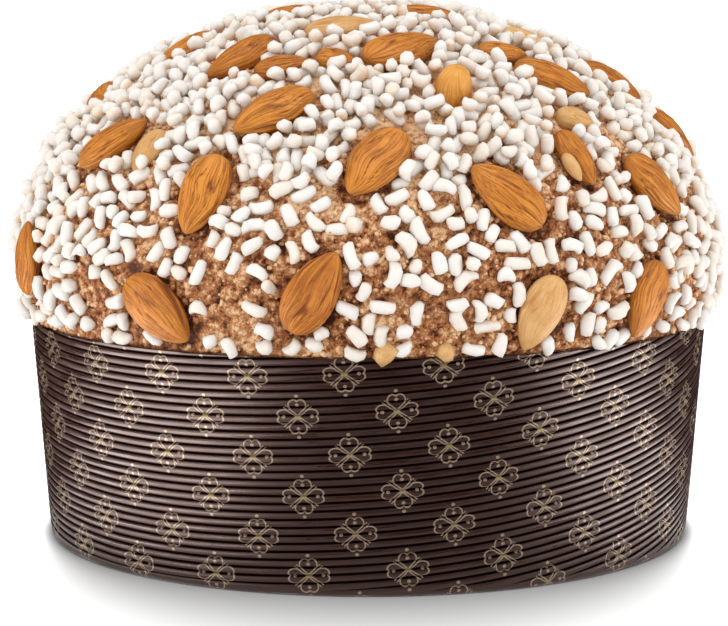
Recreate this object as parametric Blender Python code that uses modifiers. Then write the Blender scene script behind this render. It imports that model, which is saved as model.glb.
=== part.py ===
"""A low panettone: a domed loaf in its round paper case, with sugar grains and almonds on its crust.

Everything is in metres, +Z up, and the origin is the middle of the case's flat base. A place on the
crust is given by two numbers: the azimuth, in degrees from the front (-Y) towards +X, and the way
down the crust from the crown, in metres along its surface.
"""
import math

import bmesh
import bpy
import numpy as np
from mathutils import Vector
from mathutils.bvhtree import BVHTree

# The paper case
CASE_HEIGHT = 0.068
RIM_RADIUS = 0.105
BASE_RADIUS = 0.0997
WALL = 0.0009
FOOT_BEND = 0.0016

# The loaf
GAP = 0.0003
WIDEST_RADIUS = 0.1076
WIDEST_HEIGHT = 0.091
CROWN_HEIGHT = 0.1605
EDGE_RADIUS = 0.1047
EDGE_HEIGHT = CASE_HEIGHT + 2 * GAP
SHOULDER_POWER = 0.957
CROWN_POWER = 1.19
TUCK_POWER = 2.2
CRAG_DEPTH = 0.0008
TURN_STEPS = 60

# Pearl sugar: the largest grains, the ones that make the crust's outline
SUGAR_SEED = 41
SUGAR_COUNT = 2500
SUGAR_FUSED = 240
SLIVER = 0.0003
SUGAR_LENGTH = (0.0034, 0.0086)
SUGAR_WIDTH = (0.0031, 0.0038)
SUGAR_TRIES = 14
GRAIN_SIDES = 6
GRAIN_TAPER = 0.84
GRAIN_RISE = 0.16
SUGAR_EDGE = 0.0036
LOW_BELT = (0.105, 0.140)
LOW_BELT_SHARE = 0.5

# Bare patches in the sugar: azimuth, way down the crust, radius
BARE_PATCHES = (
    (-21, 0.149, 0.015), (7, 0.147, 0.010), (10, 0.157, 0.011), (-47, 0.147, 0.009),
    (31, 0.117, 0.008), (50, 0.098, 0.007), (0, 0.127, 0.008), (-26, 0.133, 0.006),
    (62, 0.152, 0.009), (100, 0.148, 0.012), (145, 0.121, 0.009), (170, 0.150, 0.013),
    (221, 0.147, 0.012), (250, 0.112, 0.008), (274, 0.151, 0.010),
)

# Almonds: azimuth, way down the crust, heading of the pointed end (0 is down the crust, 90 is
# towards a greater azimuth), length, kind
ALMONDS = (
    (1, 0.106, -34, 0.0255, "skin"), (-8, 0.143, 150, 0.0255, "skin"), (22, 0.117, -135, 0.0255, "skin"),
    (-27, 0.117, -10, 0.0245, "skin"), (-19, 0.088, -46, 0.0255, "skin"), (-33, 0.150, 49, 0.0250, "skin"),
    (26, 0.150, -21, 0.0225, "blanched"), (-69, 0.141, 169, 0.0230, "skin"), (-53, 0.102, 140, 0.0240, "skin"),
    (-43, 0.103, -8, 0.0150, "half"), (-38, 0.062, -22, 0.0240, "skin"), (-72, 0.059, 10, 0.0225, "skin"),
    (-81, 0.087, 90, 0.0230, "skin"), (-60, 0.024, 150, 0.0230, "skin"), (-12, 0.038, 105, 0.0225, "blanched"),
    (10, 0.056, 119, 0.0260, "skin"), (48, 0.026, 40, 0.0230, "skin"), (19, 0.077, 60, 0.0230, "upright"),
    (48, 0.075, 45, 0.0240, "skin"), (78, 0.079, 38, 0.0240, "skin"), (71, 0.053, 30, 0.0200, "blanched"),
    (44, 0.058, 70, 0.0160, "skin"), (38, 0.106, 9, 0.0190, "skin"), (54, 0.117, 37, 0.0240, "skin"),
    (80, 0.104, 30, 0.0245, "skin"), (44, 0.092, 70, 0.0125, "piece"), (47, 0.149, -26, 0.0235, "skin"),
    (-23, 0.066, 115, 0.0165, "skin"), (-9, 0.061, 80, 0.0120, "piece"),
    (101, 0.143, 20, 0.0240, "skin"), (123, 0.149, -60, 0.0250, "skin"), (148, 0.142, 160, 0.0245, "skin"),
    (182, 0.148, 35, 0.0230, "blanched"), (207, 0.143, -150, 0.0250, "skin"), (236, 0.150, 65, 0.0245, "skin"),
    (258, 0.144, -20, 0.0240, "skin"), (103, 0.112, -100, 0.0250, "skin"), (126, 0.118, 25, 0.0240, "skin"),
    (155, 0.110, -40, 0.0250, "skin"), (178, 0.119, 120, 0.0245, "skin"), (204, 0.109, 10, 0.0225, "blanched"),
    (228, 0.118, -125, 0.0250, "skin"), (254, 0.116, 50, 0.0240, "skin"), (108, 0.082, 60, 0.0250, "skin"),
    (139, 0.088, -20, 0.0225, "blanched"), (170, 0.083, 150, 0.0250, "skin"), (205, 0.079, -75, 0.0245, "skin"),
    (238, 0.087, 30, 0.0240, "skin"), (115, 0.052, -30, 0.0240, "skin"), (158, 0.055, 95, 0.0250, "skin"),
    (200, 0.050, 20, 0.0240, "skin"), (244, 0.058, -110, 0.0220, "blanched"), (172, 0.034, 65, 0.0235, "skin"),
)
ALMOND_SEED = 7
MOST_LEAN = 4.0
MOST_TWIST = 9.0
UNEVEN = 0.055
ALMOND_WIDTH = 0.59
ALMOND_THICKNESS = 0.345
ALMOND_SIDES = 8
ALMOND_RINGS = 6
BLUNT_POWER = 0.46
POINT_POWER = 0.66
# How far the middle of each kind lies above the crust, as a share of a whole almond's thickness
RISE = {"skin": 0.14, "blanched": 0.12, "half": -0.05, "piece": 0.10, "upright": -0.45}
# Width and thickness of each kind against a whole almond in its skin
FIGURE = {"skin": (1.0, 1.0), "blanched": (0.98, 0.95), "half": (1.05, 0.75), "piece": (1.15, 1.50),
          "upright": (0.95, 1.45)}

# Materials: colour, roughness
FINISHES = {
    "dark_brown_paper": ((0.030, 0.018, 0.014, 1.0), 0.42),
    "sugared_crust": ((0.62, 0.42, 0.27, 1.0), 0.85),
    "almond_skin": ((0.42, 0.17, 0.045, 1.0), 0.55),
    "blanched_almond": ((0.72, 0.47, 0.20, 1.0), 0.45),
}


def crust_outline(count):
    """Radius and height of the crust from the crown down to the edge that lies over the rim.

    Above the widest place the outline is a stretched quarter ellipse, whose powers flatten the
    crown and fill the shoulder. Below it the crust tucks in towards the rim by a power curve.
    """
    turn = np.linspace(math.pi / 2, 0.0, count)
    cosine = np.clip(np.cos(turn), 0.0, 1.0)
    sine = np.clip(np.sin(turn), 0.0, 1.0)
    upper_radius = WIDEST_RADIUS * cosine ** SHOULDER_POWER
    upper_height = WIDEST_HEIGHT + (CROWN_HEIGHT - WIDEST_HEIGHT) * sine ** CROWN_POWER
    fall = np.linspace(0.0, 1.0, count // 4 + 1)[1:]
    lower_radius = WIDEST_RADIUS - (WIDEST_RADIUS - EDGE_RADIUS) * fall ** TUCK_POWER
    lower_height = WIDEST_HEIGHT - (WIDEST_HEIGHT - EDGE_HEIGHT) * fall
    upper_radius[0] = 0.0
    return np.concatenate([upper_radius, lower_radius]), np.concatenate([upper_height, lower_height])


FINE_RADIUS, FINE_HEIGHT = crust_outline(1600)
FINE_WAY = np.concatenate([[0.0], np.cumsum(np.hypot(np.diff(FINE_RADIUS), np.diff(FINE_HEIGHT)))])
CRUST_LENGTH = FINE_WAY[-1]


def on_crust(azimuth, way):
    """Points on the smooth crust with their three directions: down the crust, around it and out of it."""
    azimuth, way = np.broadcast_arrays(np.radians(azimuth), way)
    step = 0.0004
    radius = np.interp(way, FINE_WAY, FINE_RADIUS)
    height = np.interp(way, FINE_WAY, FINE_HEIGHT)
    grow = np.interp(way + step, FINE_WAY, FINE_RADIUS) - np.interp(way - step, FINE_WAY, FINE_RADIUS)
    drop = np.interp(way + step, FINE_WAY, FINE_HEIGHT) - np.interp(way - step, FINE_WAY, FINE_HEIGHT)
    size = np.hypot(grow, drop)
    grow, drop = grow / size, drop / size
    side, front = np.sin(azimuth), -np.cos(azimuth)
    point = np.stack([radius * side, radius * front, height], -1)
    down = np.stack([grow * side, grow * front, drop], -1)
    around = np.stack([-front, side, np.zeros_like(side)], -1)
    out = np.stack([-drop * side, -drop * front, grow], -1)
    return point, down, around, out


def half_width(share):
    """Half an almond's width at a share of its length, blunt end to pointed end, with 1 as the most."""
    widest = BLUNT_POWER / (BLUNT_POWER + POINT_POWER)
    most = widest ** BLUNT_POWER * (1 - widest) ** POINT_POWER
    return share ** BLUNT_POWER * (1 - share) ** POINT_POWER / most


def almond_frames():
    """For each almond: middle, three axes as rows (length, width, thickness) and its three sizes."""
    draw = np.random.default_rng(ALMOND_SEED)
    frames = []
    for azimuth, way, heading, length, kind in ALMONDS:
        point, down, around, up = on_crust(azimuth, way)
        lean, twist, broad, thick = draw.uniform(-1.0, 1.0, 4)
        turn = math.radians(heading)
        level = math.cos(turn) * down + math.sin(turn) * around
        lean = math.radians(-90.0 if kind == "upright" else MOST_LEAN * lean)
        twist = math.radians(MOST_TWIST * twist)
        along = math.cos(lean) * level + math.sin(lean) * up
        top = math.cos(lean) * up - math.sin(lean) * level
        side = np.cross(top, along)
        across = math.cos(twist) * side + math.sin(twist) * top
        out = math.cos(twist) * top - math.sin(twist) * side
        middle = point + RISE[kind] * length * ALMOND_THICKNESS * up
        wide, deep = FIGURE[kind]
        width = length * ALMOND_WIDTH * wide * (1 + UNEVEN * broad)
        depth = length * ALMOND_THICKNESS * deep * (1 + UNEVEN * thick)
        frames.append((middle, np.stack([along, across, out]), (length, width, depth)))
    return frames


def sugar_share(azimuth, way):
    """How much sugar lies at a place: full on the top, thinner in the low belt, none on bare patches."""
    low = np.clip((way - LOW_BELT[0]) / (LOW_BELT[1] - LOW_BELT[0]), 0.0, 1.0)
    share = 1.0 - (1.0 - LOW_BELT_SHARE) * low * low * (3 - 2 * low)
    point = on_crust(azimuth, way)[0]
    for patch_azimuth, patch_way, patch_radius in BARE_PATCHES:
        far = np.linalg.norm(point - on_crust(patch_azimuth, patch_way)[0], axis=-1)
        share = share * np.clip(2.0 * far / patch_radius - 1.0, 0.04, 1.0)
    return share


def sugar_grains(count):
    """Sugar grains, largest first, each where it has the most room of a few places drawn for it.

    A grain and an almond both count as a row of balls along their length. Returns the azimuth,
    way, heading, length and width of each grain as rows.
    """
    draw = np.random.default_rng(SUGAR_SEED)
    size = np.sort(draw.beta(1.3, 1.6, SUGAR_COUNT))[::-1]
    lengths = SUGAR_LENGTH[0] + (SUGAR_LENGTH[1] - SUGAR_LENGTH[0]) * size
    widths = draw.uniform(*SUGAR_WIDTH, SUGAR_COUNT)
    balls, ball_radii = [], []
    for middle, axes, (length, width, depth) in almond_frames():
        for share in (0.12, 0.30, 0.45, 0.62, 0.80, 0.93):
            balls.append(middle + (share - 0.5) * length * axes[0])
            ball_radii.append(half_width(share) * width / 2)
    almond_balls, almond_radii = np.array(balls), np.array(ball_radii)
    area = np.concatenate([[0.0], np.cumsum(FINE_RADIUS[1:] * np.diff(FINE_WAY))])
    grains = np.zeros((count, 5))
    centres = np.zeros((count, 3, 3))
    found = 0
    for length, width in zip(lengths, widths):
        chance = draw.random((SUGAR_TRIES, 4))
        way = np.interp(chance[:, 0] * area[-1], area, FINE_WAY)
        azimuth = 360.0 * chance[:, 1]
        heading = 180.0 * chance[:, 2]
        point, down, around, out = on_crust(azimuth, way)
        turn = np.radians(heading)[:, None]
        along = np.cos(turn) * down + np.sin(turn) * around
        reach = (length - width) / 2
        row = point[:, None, :] + reach * np.array([-1.0, 0.0, 1.0])[None, :, None] * along[:, None, :]
        room = np.linalg.norm(row[:, :, None, :] - almond_balls, axis=-1) - almond_radii - width / 2
        room = room.min(axis=(1, 2)) - 2 * GAP
        if found:
            near = np.linalg.norm(row[:, :, None, None, :] - centres[:found], axis=-1)
            spread = near.min(axis=(1, 2, 3)) - (width + grains[:found, 4].mean()) / 2
            room = np.where(room > 0, spread, -1.0)
        room = np.where(chance[:, 3] < sugar_share(azimuth, way), room, -1.0)
        room = np.where((way > 0.001) & (way < CRUST_LENGTH - SUGAR_EDGE - reach), room, -1.0)
        best = int(np.argmax(room))
        if room[best] <= 0:
            continue
        grains[found] = azimuth[best], way[best], heading[best], length, width
        centres[found] = row[best]
        found += 1
        if found == count:
            break
    return grains[:found]


def finish_material(name):
    """A plain Principled material of one colour and roughness, made once."""
    if name in bpy.data.materials:
        return bpy.data.materials[name]
    colour, roughness = FINISHES[name]
    material = bpy.data.materials.new(name)
    material.use_nodes = True
    shader = material.node_tree.nodes["Principled BSDF"]
    shader.inputs["Base Color"].default_value = colour
    shader.inputs["Roughness"].default_value = roughness
    shader.inputs["Metallic"].default_value = 0.0
    material.diffuse_color = colour
    return material


def turned_object(name, radius, height, collection):
    """A turned solid: an outline that ends on the axis, swept round it by a Screw modifier."""
    outline = bpy.data.meshes.new(name)
    points = [(r, 0.0, z) for r, z in zip(radius, height)]
    outline.from_pydata(points, [(i, i + 1) for i in range(len(points) - 1)], [])
    piece = bpy.data.objects.new(name, outline)
    collection.objects.link(piece)
    screw = piece.modifiers.new("turn", "SCREW")
    screw.axis = "Z"
    screw.steps = TURN_STEPS
    screw.render_steps = TURN_STEPS
    screw.use_merge_vertices = True
    screw.merge_threshold = 0.00001
    return piece


def evaluated_mesh(piece):
    """The object's mesh with its modifiers applied."""
    graph = bpy.context.evaluated_depsgraph_get()
    return bpy.data.meshes.new_from_object(piece.evaluated_get(graph))


def make_case(collection):
    """The paper case: a thin flared wall and a flat base, with a small bend at the foot."""
    lean = (RIM_RADIUS - BASE_RADIUS) / CASE_HEIGHT
    foot_top = BASE_RADIUS + lean * FOOT_BEND
    radius = [0.0, BASE_RADIUS + lean * WALL - WALL, RIM_RADIUS - WALL, RIM_RADIUS, foot_top,
              BASE_RADIUS - FOOT_BEND, 0.0]
    height = [WALL, WALL, CASE_HEIGHT, CASE_HEIGHT, FOOT_BEND, 0.0, 0.0]
    case = turned_object("paper_case", radius, height, collection)
    case.data.materials.append(finish_material("dark_brown_paper"))
    return case


def crag(points):
    """How far a crust point sinks below the smooth outline, from 0 to CRAG_DEPTH: crossed waves."""
    x, y, z = points[:, 0], points[:, 1], points[:, 2]
    wave = (np.sin(230 * x + 120 * y - 90 * z + 0.4) + np.sin(-140 * x + 260 * y + 110 * z + 2.1)
            + np.sin(330 * x - 210 * y + 170 * z + 4.0) + np.sin(170 * x + 310 * y - 260 * z + 1.2))
    return CRAG_DEPTH * (0.5 + wave / 8)


def make_loaf(collection):
    """The loaf: a turned body that fills the case and domes over its rim, with a craggy crust."""
    lean = (RIM_RADIUS - BASE_RADIUS) / CASE_HEIGHT
    turn_radius, turn_height = crust_outline(12)
    inside_top = RIM_RADIUS - WALL - GAP
    inside_foot = BASE_RADIUS + lean * (WALL + GAP) - WALL - GAP
    radius = np.concatenate([turn_radius, [inside_top, inside_foot, 0.0]])
    height = np.concatenate([turn_height, [EDGE_HEIGHT - GAP, WALL + GAP, WALL + GAP]])
    loaf = turned_object("bread", radius, height, collection)
    body = evaluated_mesh(loaf)
    loaf.modifiers.clear()
    loaf.data = body
    points = np.zeros(len(body.vertices) * 3)
    body.vertices.foreach_get("co", points)
    points = points.reshape(-1, 3)
    level = np.hypot(points[:, 0], points[:, 1])
    above = points[:, 2] > EDGE_HEIGHT + 0.001
    way = np.interp(-points[:, 2], -FINE_HEIGHT, FINE_WAY)
    azimuth = np.degrees(np.arctan2(points[:, 0], -points[:, 1]))
    out = on_crust(azimuth, way)[3]
    out[level < 0.001] = (0.0, 0.0, 1.0)
    points[above] -= (crag(points)[:, None] * out)[above]
    body.vertices.foreach_set("co", points.ravel())
    body.update()
    body.materials.append(finish_material("sugared_crust"))
    return loaf


def add_sugar(loaf):
    """Press the largest sugar grains into the crust and join them to it with one union."""
    level = BVHTree.FromPolygons([v.co for v in loaf.data.vertices], [p.vertices for p in loaf.data.polygons])
    grains = bpy.data.collections.new("sugar_grains")
    bpy.context.scene.collection.children.link(grains)
    for number, (azimuth, way, heading, length, width) in enumerate(sugar_grains(SUGAR_FUSED)):
        point, down, around, out = on_crust(azimuth, way)
        start = Vector(point + 0.01 * out)
        touch = level.ray_cast(start, Vector(-out))[0]
        turn = math.radians(heading)
        along = math.cos(turn) * down + math.sin(turn) * around
        axes = np.stack([along, np.cross(out, along), out])
        grain = bmesh.new()
        bmesh.ops.create_cone(grain, cap_ends=True, segments=GRAIN_SIDES, radius1=1.0,
                              radius2=GRAIN_TAPER, depth=2.0)
        for corner in grain.verts:
            ball = np.array(corner.co)
            local = np.array([ball[2] * length / 2, ball[0] * width / 2, ball[1] * width / 2])
            corner.co = touch + Vector(local @ axes + GRAIN_RISE * width * out)
        mesh = bpy.data.meshes.new(f"sugar_{number}")
        grain.to_mesh(mesh)
        grain.free()
        grains.objects.link(bpy.data.objects.new(f"sugar_{number}", mesh))
    union = loaf.modifiers.new("sugar", "BOOLEAN")
    union.operation = "UNION"
    union.operand_type = "COLLECTION"
    union.collection = grains
    union.solver = "EXACT"
    joined = evaluated_mesh(loaf)
    loaf.modifiers.clear()
    loaf.data = joined
    for grain in list(grains.objects):
        bpy.data.objects.remove(grain)
    bpy.data.collections.remove(grains)


def keep_outer_shell(piece):
    """Weld the slivers round the grains' feet, then drop every shell of the mesh but the largest.

    The other shells are loose scraps, and hollows that the union sealed.
    """
    mesh = bmesh.new()
    mesh.from_mesh(piece.data)
    bmesh.ops.triangulate(mesh, faces=mesh.faces)
    bmesh.ops.remove_doubles(mesh, verts=mesh.verts, dist=SLIVER)
    shells, seen = [], set()
    for face in mesh.faces:
        if face in seen:
            continue
        shell, wave = [], [face]
        seen.add(face)
        while wave:
            here = wave.pop()
            shell.append(here)
            for edge in here.edges:
                for other in edge.link_faces:
                    if other not in seen:
                        seen.add(other)
                        wave.append(other)
        shells.append(shell)
    shells.sort(key=len)
    for shell in shells[:-1]:
        bmesh.ops.delete(mesh, geom=shell, context="FACES")
    mesh.to_mesh(piece.data)
    mesh.free()


def crust_distance(points):
    """Distance of points outside the smooth crust, with the crust's outward direction there."""
    radius = np.hypot(points[:, 0], points[:, 1])
    off_radius = radius[:, None] - FINE_RADIUS[None, ::4]
    off_height = points[:, 2][:, None] - FINE_HEIGHT[None, ::4]
    nearest = np.argmin(off_radius ** 2 + off_height ** 2, axis=1) * 4
    azimuth = np.degrees(np.arctan2(points[:, 0], -points[:, 1]))
    foot, down, around, out = on_crust(azimuth, FINE_WAY[nearest])
    return np.einsum("ij,ij->i", points - foot, out), out


def make_almonds(collection):
    """Every almond as its own piece: a ball drawn out to an almond, its underside laid on the crust."""
    for number, (middle, axes, (length, width, depth)) in enumerate(almond_frames(), start=1):
        kind = ALMONDS[number - 1][4]
        form = bmesh.new()
        bmesh.ops.create_uvsphere(form, u_segments=ALMOND_SIDES, v_segments=ALMOND_RINGS, radius=1.0)
        ball = np.array([corner.co for corner in form.verts])
        share = (1 + ball[:, 2]) / 2
        girth = np.where((share > 0.001) & (share < 0.999), half_width(np.clip(share, 0.0001, 0.9999)), 0.0)
        ring = np.hypot(ball[:, 0], ball[:, 1]) + 1e-9
        local = np.stack([(share - 0.5) * length, ball[:, 0] / ring * girth * width / 2,
                          ball[:, 1] / ring * girth * depth / 2], -1)
        points = middle + local @ axes
        above, out = crust_distance(points)
        points += np.clip(GAP - above, 0.0, None)[:, None] * out
        for corner, place in zip(form.verts, points):
            corner.co = place
        name = f"almond_{number:02d}"
        mesh = bpy.data.meshes.new(name)
        form.to_mesh(mesh)
        form.free()
        mesh.shade_smooth()
        pale = kind in ("blanched", "half", "piece")
        mesh.materials.append(finish_material("blanched_almond" if pale else "almond_skin"))
        collection.objects.link(bpy.data.objects.new(name, mesh))


def build():
    """Clear the scene and make the panettone."""
    for thing in list(bpy.data.objects):
        bpy.data.objects.remove(thing)
    collection = bpy.data.collections.new("panettone")
    bpy.context.scene.collection.children.link(collection)
    case = make_case(collection)
    case.data.shade_smooth()
    loaf = make_loaf(collection)
    add_sugar(loaf)
    keep_outer_shell(loaf)
    make_almonds(collection)


build()
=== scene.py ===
"""The looks of a low panettone: its ribbed paper case, browned glaze, almonds and pearl sugar.

Metres, +Z up, with the origin in the middle of the case's base. A place on the crust is given by its
azimuth, in degrees from the front (-Y) towards +X, and by the way down to it from the crown.
"""
import math

import bpy
import numpy as np
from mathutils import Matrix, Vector


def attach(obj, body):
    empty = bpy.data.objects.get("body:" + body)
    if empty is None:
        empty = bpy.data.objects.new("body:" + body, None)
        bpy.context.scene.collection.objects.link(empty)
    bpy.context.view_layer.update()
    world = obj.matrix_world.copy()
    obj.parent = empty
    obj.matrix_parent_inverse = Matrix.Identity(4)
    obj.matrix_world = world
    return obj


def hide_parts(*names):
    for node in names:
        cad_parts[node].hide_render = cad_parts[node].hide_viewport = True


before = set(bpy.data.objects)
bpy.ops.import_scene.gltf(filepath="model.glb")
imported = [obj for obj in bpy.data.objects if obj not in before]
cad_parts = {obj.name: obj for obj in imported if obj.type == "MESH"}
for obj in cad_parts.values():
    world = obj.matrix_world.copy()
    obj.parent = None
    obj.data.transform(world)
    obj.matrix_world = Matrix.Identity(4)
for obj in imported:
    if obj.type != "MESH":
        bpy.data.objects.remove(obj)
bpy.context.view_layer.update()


# The paper case: a strip of dark brown corrugated baking paper, bent round a flat paper base and glued
# where its ends lap at the back. The strip is cut to a slight arc, so its straight ribs dip in front
# and climb towards the seam. A small flower in dull gold ink is printed all over it.

CASE_HEIGHT = 0.068
RIM_RADIUS = 0.105
BASE_RADIUS = 0.0997
WALL = 0.0009
FOOT_BEND = 0.0016
CASE_LEAN = (RIM_RADIUS - BASE_RADIUS) / CASE_HEIGHT
CASE_COLUMNS = 300
BLANK_MIDDLE = math.radians(-39.0)
BLANK_TURN = 0.105
BLANK_RADIUS = 0.102 / BLANK_TURN
RIB_PITCH = 0.0023
RIB_DEPTH = 0.0008
RIB_LEVELS = np.array([0.0, 0.05, 0.13, 0.24, 0.5, 0.76, 0.87, 0.95])
RIB_FADE = (0.0012, 0.0036)
LAP_WIDTH = 0.014
LAP_RISE = 0.0004
# Lower than this, the paper is the flat base
UNDER_BASE = 0.00005
PAPER_BROWN = (0.021, 0.0044, 0.0022, 1.0)
PAPER_WORN = (0.036, 0.0115, 0.0070, 1.0)
PAPER_SHEEN = (1.0, 0.79, 0.74, 1.0)
FLAT_MILLIMETRES = (1000.0, 1000.0, 0.0)
# Streaks and rubbed patches are drawn out along the ribs
STREAK_STRETCH = (0.12, 2.6, 1.0)
RUBBED_STRETCH = (0.05, 0.55, 1.0)
INK_GOLD = (0.36, 0.265, 0.185, 1.0)
INK_YELLOW = (0.33, 0.26, 0.12, 1.0)


def joined_rings(rings):
    """Points, triangles and first places of a closed surface through rows of points.

    Each row is a ring, and each ring is joined to the next. Points in one place become one point, and
    the triangles that this leaves without width are dropped. The places pick values out of flat rows.
    """
    rows, columns = rings.shape[:2]
    number = np.arange(rows * columns).reshape(rows, columns)
    ahead = np.roll(number, -1, axis=1)
    lower = np.stack([number[:-1], ahead[:-1], ahead[1:]], -1).reshape(-1, 3)
    upper = np.stack([number[:-1], ahead[1:], number[1:]], -1).reshape(-1, 3)
    flat = rings.reshape(-1, 3)
    tenths_of_a_micron = np.round(flat * 1e7).astype(np.int64)
    _, first, same = np.unique(tenths_of_a_micron, axis=0, return_index=True, return_inverse=True)
    faces = same.reshape(-1)[np.concatenate([lower, upper])]
    wide = (faces[:, 0] != faces[:, 1]) & (faces[:, 1] != faces[:, 2]) & (faces[:, 2] != faces[:, 0])
    return flat[first], faces[wide], first


def smooth_piece(name, points, faces, finish, **marks):
    """A smooth-shaded object from points and faces, with a named number at each point for each mark."""
    mesh = bpy.data.meshes.new(name)
    mesh.vertices.add(len(points))
    mesh.vertices.foreach_set("co", np.asarray(points, np.float32).ravel())
    mesh.loops.add(faces.size)
    mesh.loops.foreach_set("vertex_index", np.asarray(faces, np.int32).ravel())
    mesh.polygons.add(len(faces))
    mesh.polygons.foreach_set("loop_start", np.arange(len(faces), dtype=np.int32) * faces.shape[1])
    mesh.update(calc_edges=True)
    mesh.validate()
    mesh.shade_smooth()
    for mark, values in marks.items():
        kind, slot = ("FLOAT_VECTOR", "vector") if values.ndim == 2 else ("FLOAT", "value")
        carried = mesh.attributes.new(mark, kind, "POINT").data
        carried.foreach_set(slot, np.asarray(values, np.float32).ravel())
    mesh.materials.append(finish)
    piece = bpy.data.objects.new(name, mesh)
    bpy.context.scene.collection.objects.link(piece)
    return piece


def placed(tree, kind, inputs=(), **settings):
    """A node of a shader tree: its settings set, its inputs linked to sockets or set to values."""
    made = tree.nodes.new(kind)
    for name, value in settings.items():
        setattr(made, name, value)
    for name, value in dict(inputs).items():
        if isinstance(value, bpy.types.NodeSocket):
            tree.links.new(value, made.inputs[name])
        else:
            made.inputs[name].default_value = value
    return made


def worked(tree, operation, *values):
    """The result of a Math node on sockets or numbers."""
    return placed(tree, "ShaderNodeMath", enumerate(values), operation=operation).outputs[0]


def ranged(tree, value, low, high, to_low=0.0, to_high=1.0):
    """A value carried from one range to another, smoothly and clamped at both ends."""
    inputs = {"Value": value, "From Min": low, "From Max": high, "To Min": to_low, "To Max": to_high}
    return placed(tree, "ShaderNodeMapRange", inputs, interpolation_type="SMOOTHSTEP").outputs[0]


def blended(tree, share, first, second, blend="MIX"):
    """Two colours mixed by a share of the second."""
    inputs = {"Factor": share, "A": first, "B": second}
    made = tree.nodes.new("ShaderNodeMix")
    made.data_type = "RGBA"
    made.blend_type = blend
    for socket in made.inputs:
        if socket.name in inputs and socket.enabled:
            value = inputs[socket.name]
            if isinstance(value, bpy.types.NodeSocket):
                tree.links.new(value, socket)
            else:
                socket.default_value = value
    return next(socket for socket in made.outputs if socket.enabled)


def speckled(tree, place, scale, detail=2.0, roughness=0.5):
    """The height of a noise over a place, its scale in grains to the unit that the place is in."""
    inputs = {"Vector": place, "Scale": scale, "Detail": detail, "Roughness": roughness}
    return placed(tree, "ShaderNodeTexNoise", inputs).outputs[0]


def standing(tree):
    """The place of a point on its piece, in metres."""
    return placed(tree, "ShaderNodeTexCoord").outputs["Object"]


def marked(tree, name, output="Fac"):
    """What a piece carries at each point under a name: a number, or a place by the Vector output."""
    return placed(tree, "ShaderNodeAttribute", attribute_name=name).outputs[output]


def stretched(tree, place, factors):
    """A place with each of its coordinates multiplied by a factor of its own."""
    return placed(tree, "ShaderNodeVectorMath", {0: place, 1: factors}, operation="MULTIPLY").outputs[0]


def bumped(tree, shader, relief, strength, depth):
    """Gives a shader a relief as its bump."""
    bump = placed(tree, "ShaderNodeBump", {"Strength": strength, "Distance": depth, "Height": relief})
    tree.links.new(bump.outputs[0], shader.inputs["Normal"])


def new_finish(name, roughness, specular):
    """A material with a Principled shader; its tree and shader are returned with it."""
    finish = bpy.data.materials.new(name)
    finish.use_nodes = True
    tree = finish.node_tree
    shader = tree.nodes["Principled BSDF"]
    shader.inputs["Roughness"].default_value = roughness
    shader.inputs["Specular IOR Level"].default_value = specular
    return finish, tree, shader


def case_rings():
    """The case as rings, from the middle of its base out, up its ribbed wall, over and down inside.

    A column stands at each azimuth, the first and the last on the two sides of the seam. On each, the
    rib levels give the heights: across the flat strip a level is (radius + height) cos(turn) - radius.
    A rib swells to a broad flat crest between narrow valleys, by the square root of a sine.
    """
    along = np.append(np.linspace(0.0, math.tau, CASE_COLUMNS, endpoint=False), math.tau - 0.0004)
    turn = (along - math.pi) * BLANK_TURN
    first = math.floor((BLANK_RADIUS * math.cos(math.pi * BLANK_TURN) - BLANK_RADIUS) / RIB_PITCH)
    last = math.ceil(CASE_HEIGHT / RIB_PITCH)
    level = (np.arange(first, last)[:, None] + RIB_LEVELS).reshape(-1, 1)
    height = (level * RIB_PITCH + BLANK_RADIUS) / np.cos(turn) - BLANK_RADIUS
    height = np.clip(height, 0.0, CASE_HEIGHT)
    across = (BLANK_RADIUS + height) * np.cos(turn) - BLANK_RADIUS
    bend = np.clip(1.0 - height / FOOT_BEND, 0.0, 1.0)
    radius = BASE_RADIUS + CASE_LEAN * height - FOOT_BEND * (1.0 - np.sqrt(1.0 - bend ** 2))
    swell = np.sqrt(np.abs(np.sin(math.pi * across / RIB_PITCH)))
    fade = np.clip((height - RIB_FADE[0]) / (RIB_FADE[1] - RIB_FADE[0]), 0.0, 1.0)
    radius += RIB_DEPTH * fade * (swell - 0.8)
    radius += 0.00016 * np.sin(5 * along + 40 * height + 1.0) * np.sin(3 * along - 25 * height) * fade
    lap = np.clip((along - math.tau + LAP_WIDTH / RIM_RADIUS) / 0.03, 0.0, 1.0)
    radius += LAP_RISE * lap * fade
    inner = [(RIM_RADIUS - WALL, CASE_HEIGHT), (BASE_RADIUS + CASE_LEAN * WALL - WALL, WALL), (0.0, WALL)]
    flat = np.ones_like(along)
    radius = np.vstack([0.0 * flat, radius] + [r * flat for r, z in inner])
    height = np.vstack([0.0 * flat, height] + [z * flat for r, z in inner])
    azimuth = BLANK_MIDDLE - math.pi + along
    rings = np.stack([radius * np.sin(azimuth), -radius * np.cos(azimuth), height], -1)
    strip = np.stack([(BLANK_RADIUS + height) * np.sin(turn),
                      (BLANK_RADIUS + height) * np.cos(turn) - BLANK_RADIUS, 0.0 * height], -1)
    crest = np.vstack([flat, 1.0 - fade * (1.0 - swell), np.ones((3, len(along)))])
    return rings, strip, crest


# The print's repeat, in millimetres on the flat strip: a flower stands at each corner and in each
# middle of a grid of this pitch, and its height is squeezed by the pleating.
PRINT_PITCH = (28.6, 22.8, 1.0)
PRINT_START = (-4.7, 50.2, 0.0)
PRINT_SQUEEZE = 0.80
PETAL_LENGTH = 5.4
PETAL_SLIM = 1.27
INK_LINE = 0.25
INK_SOFT = 0.08
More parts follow.
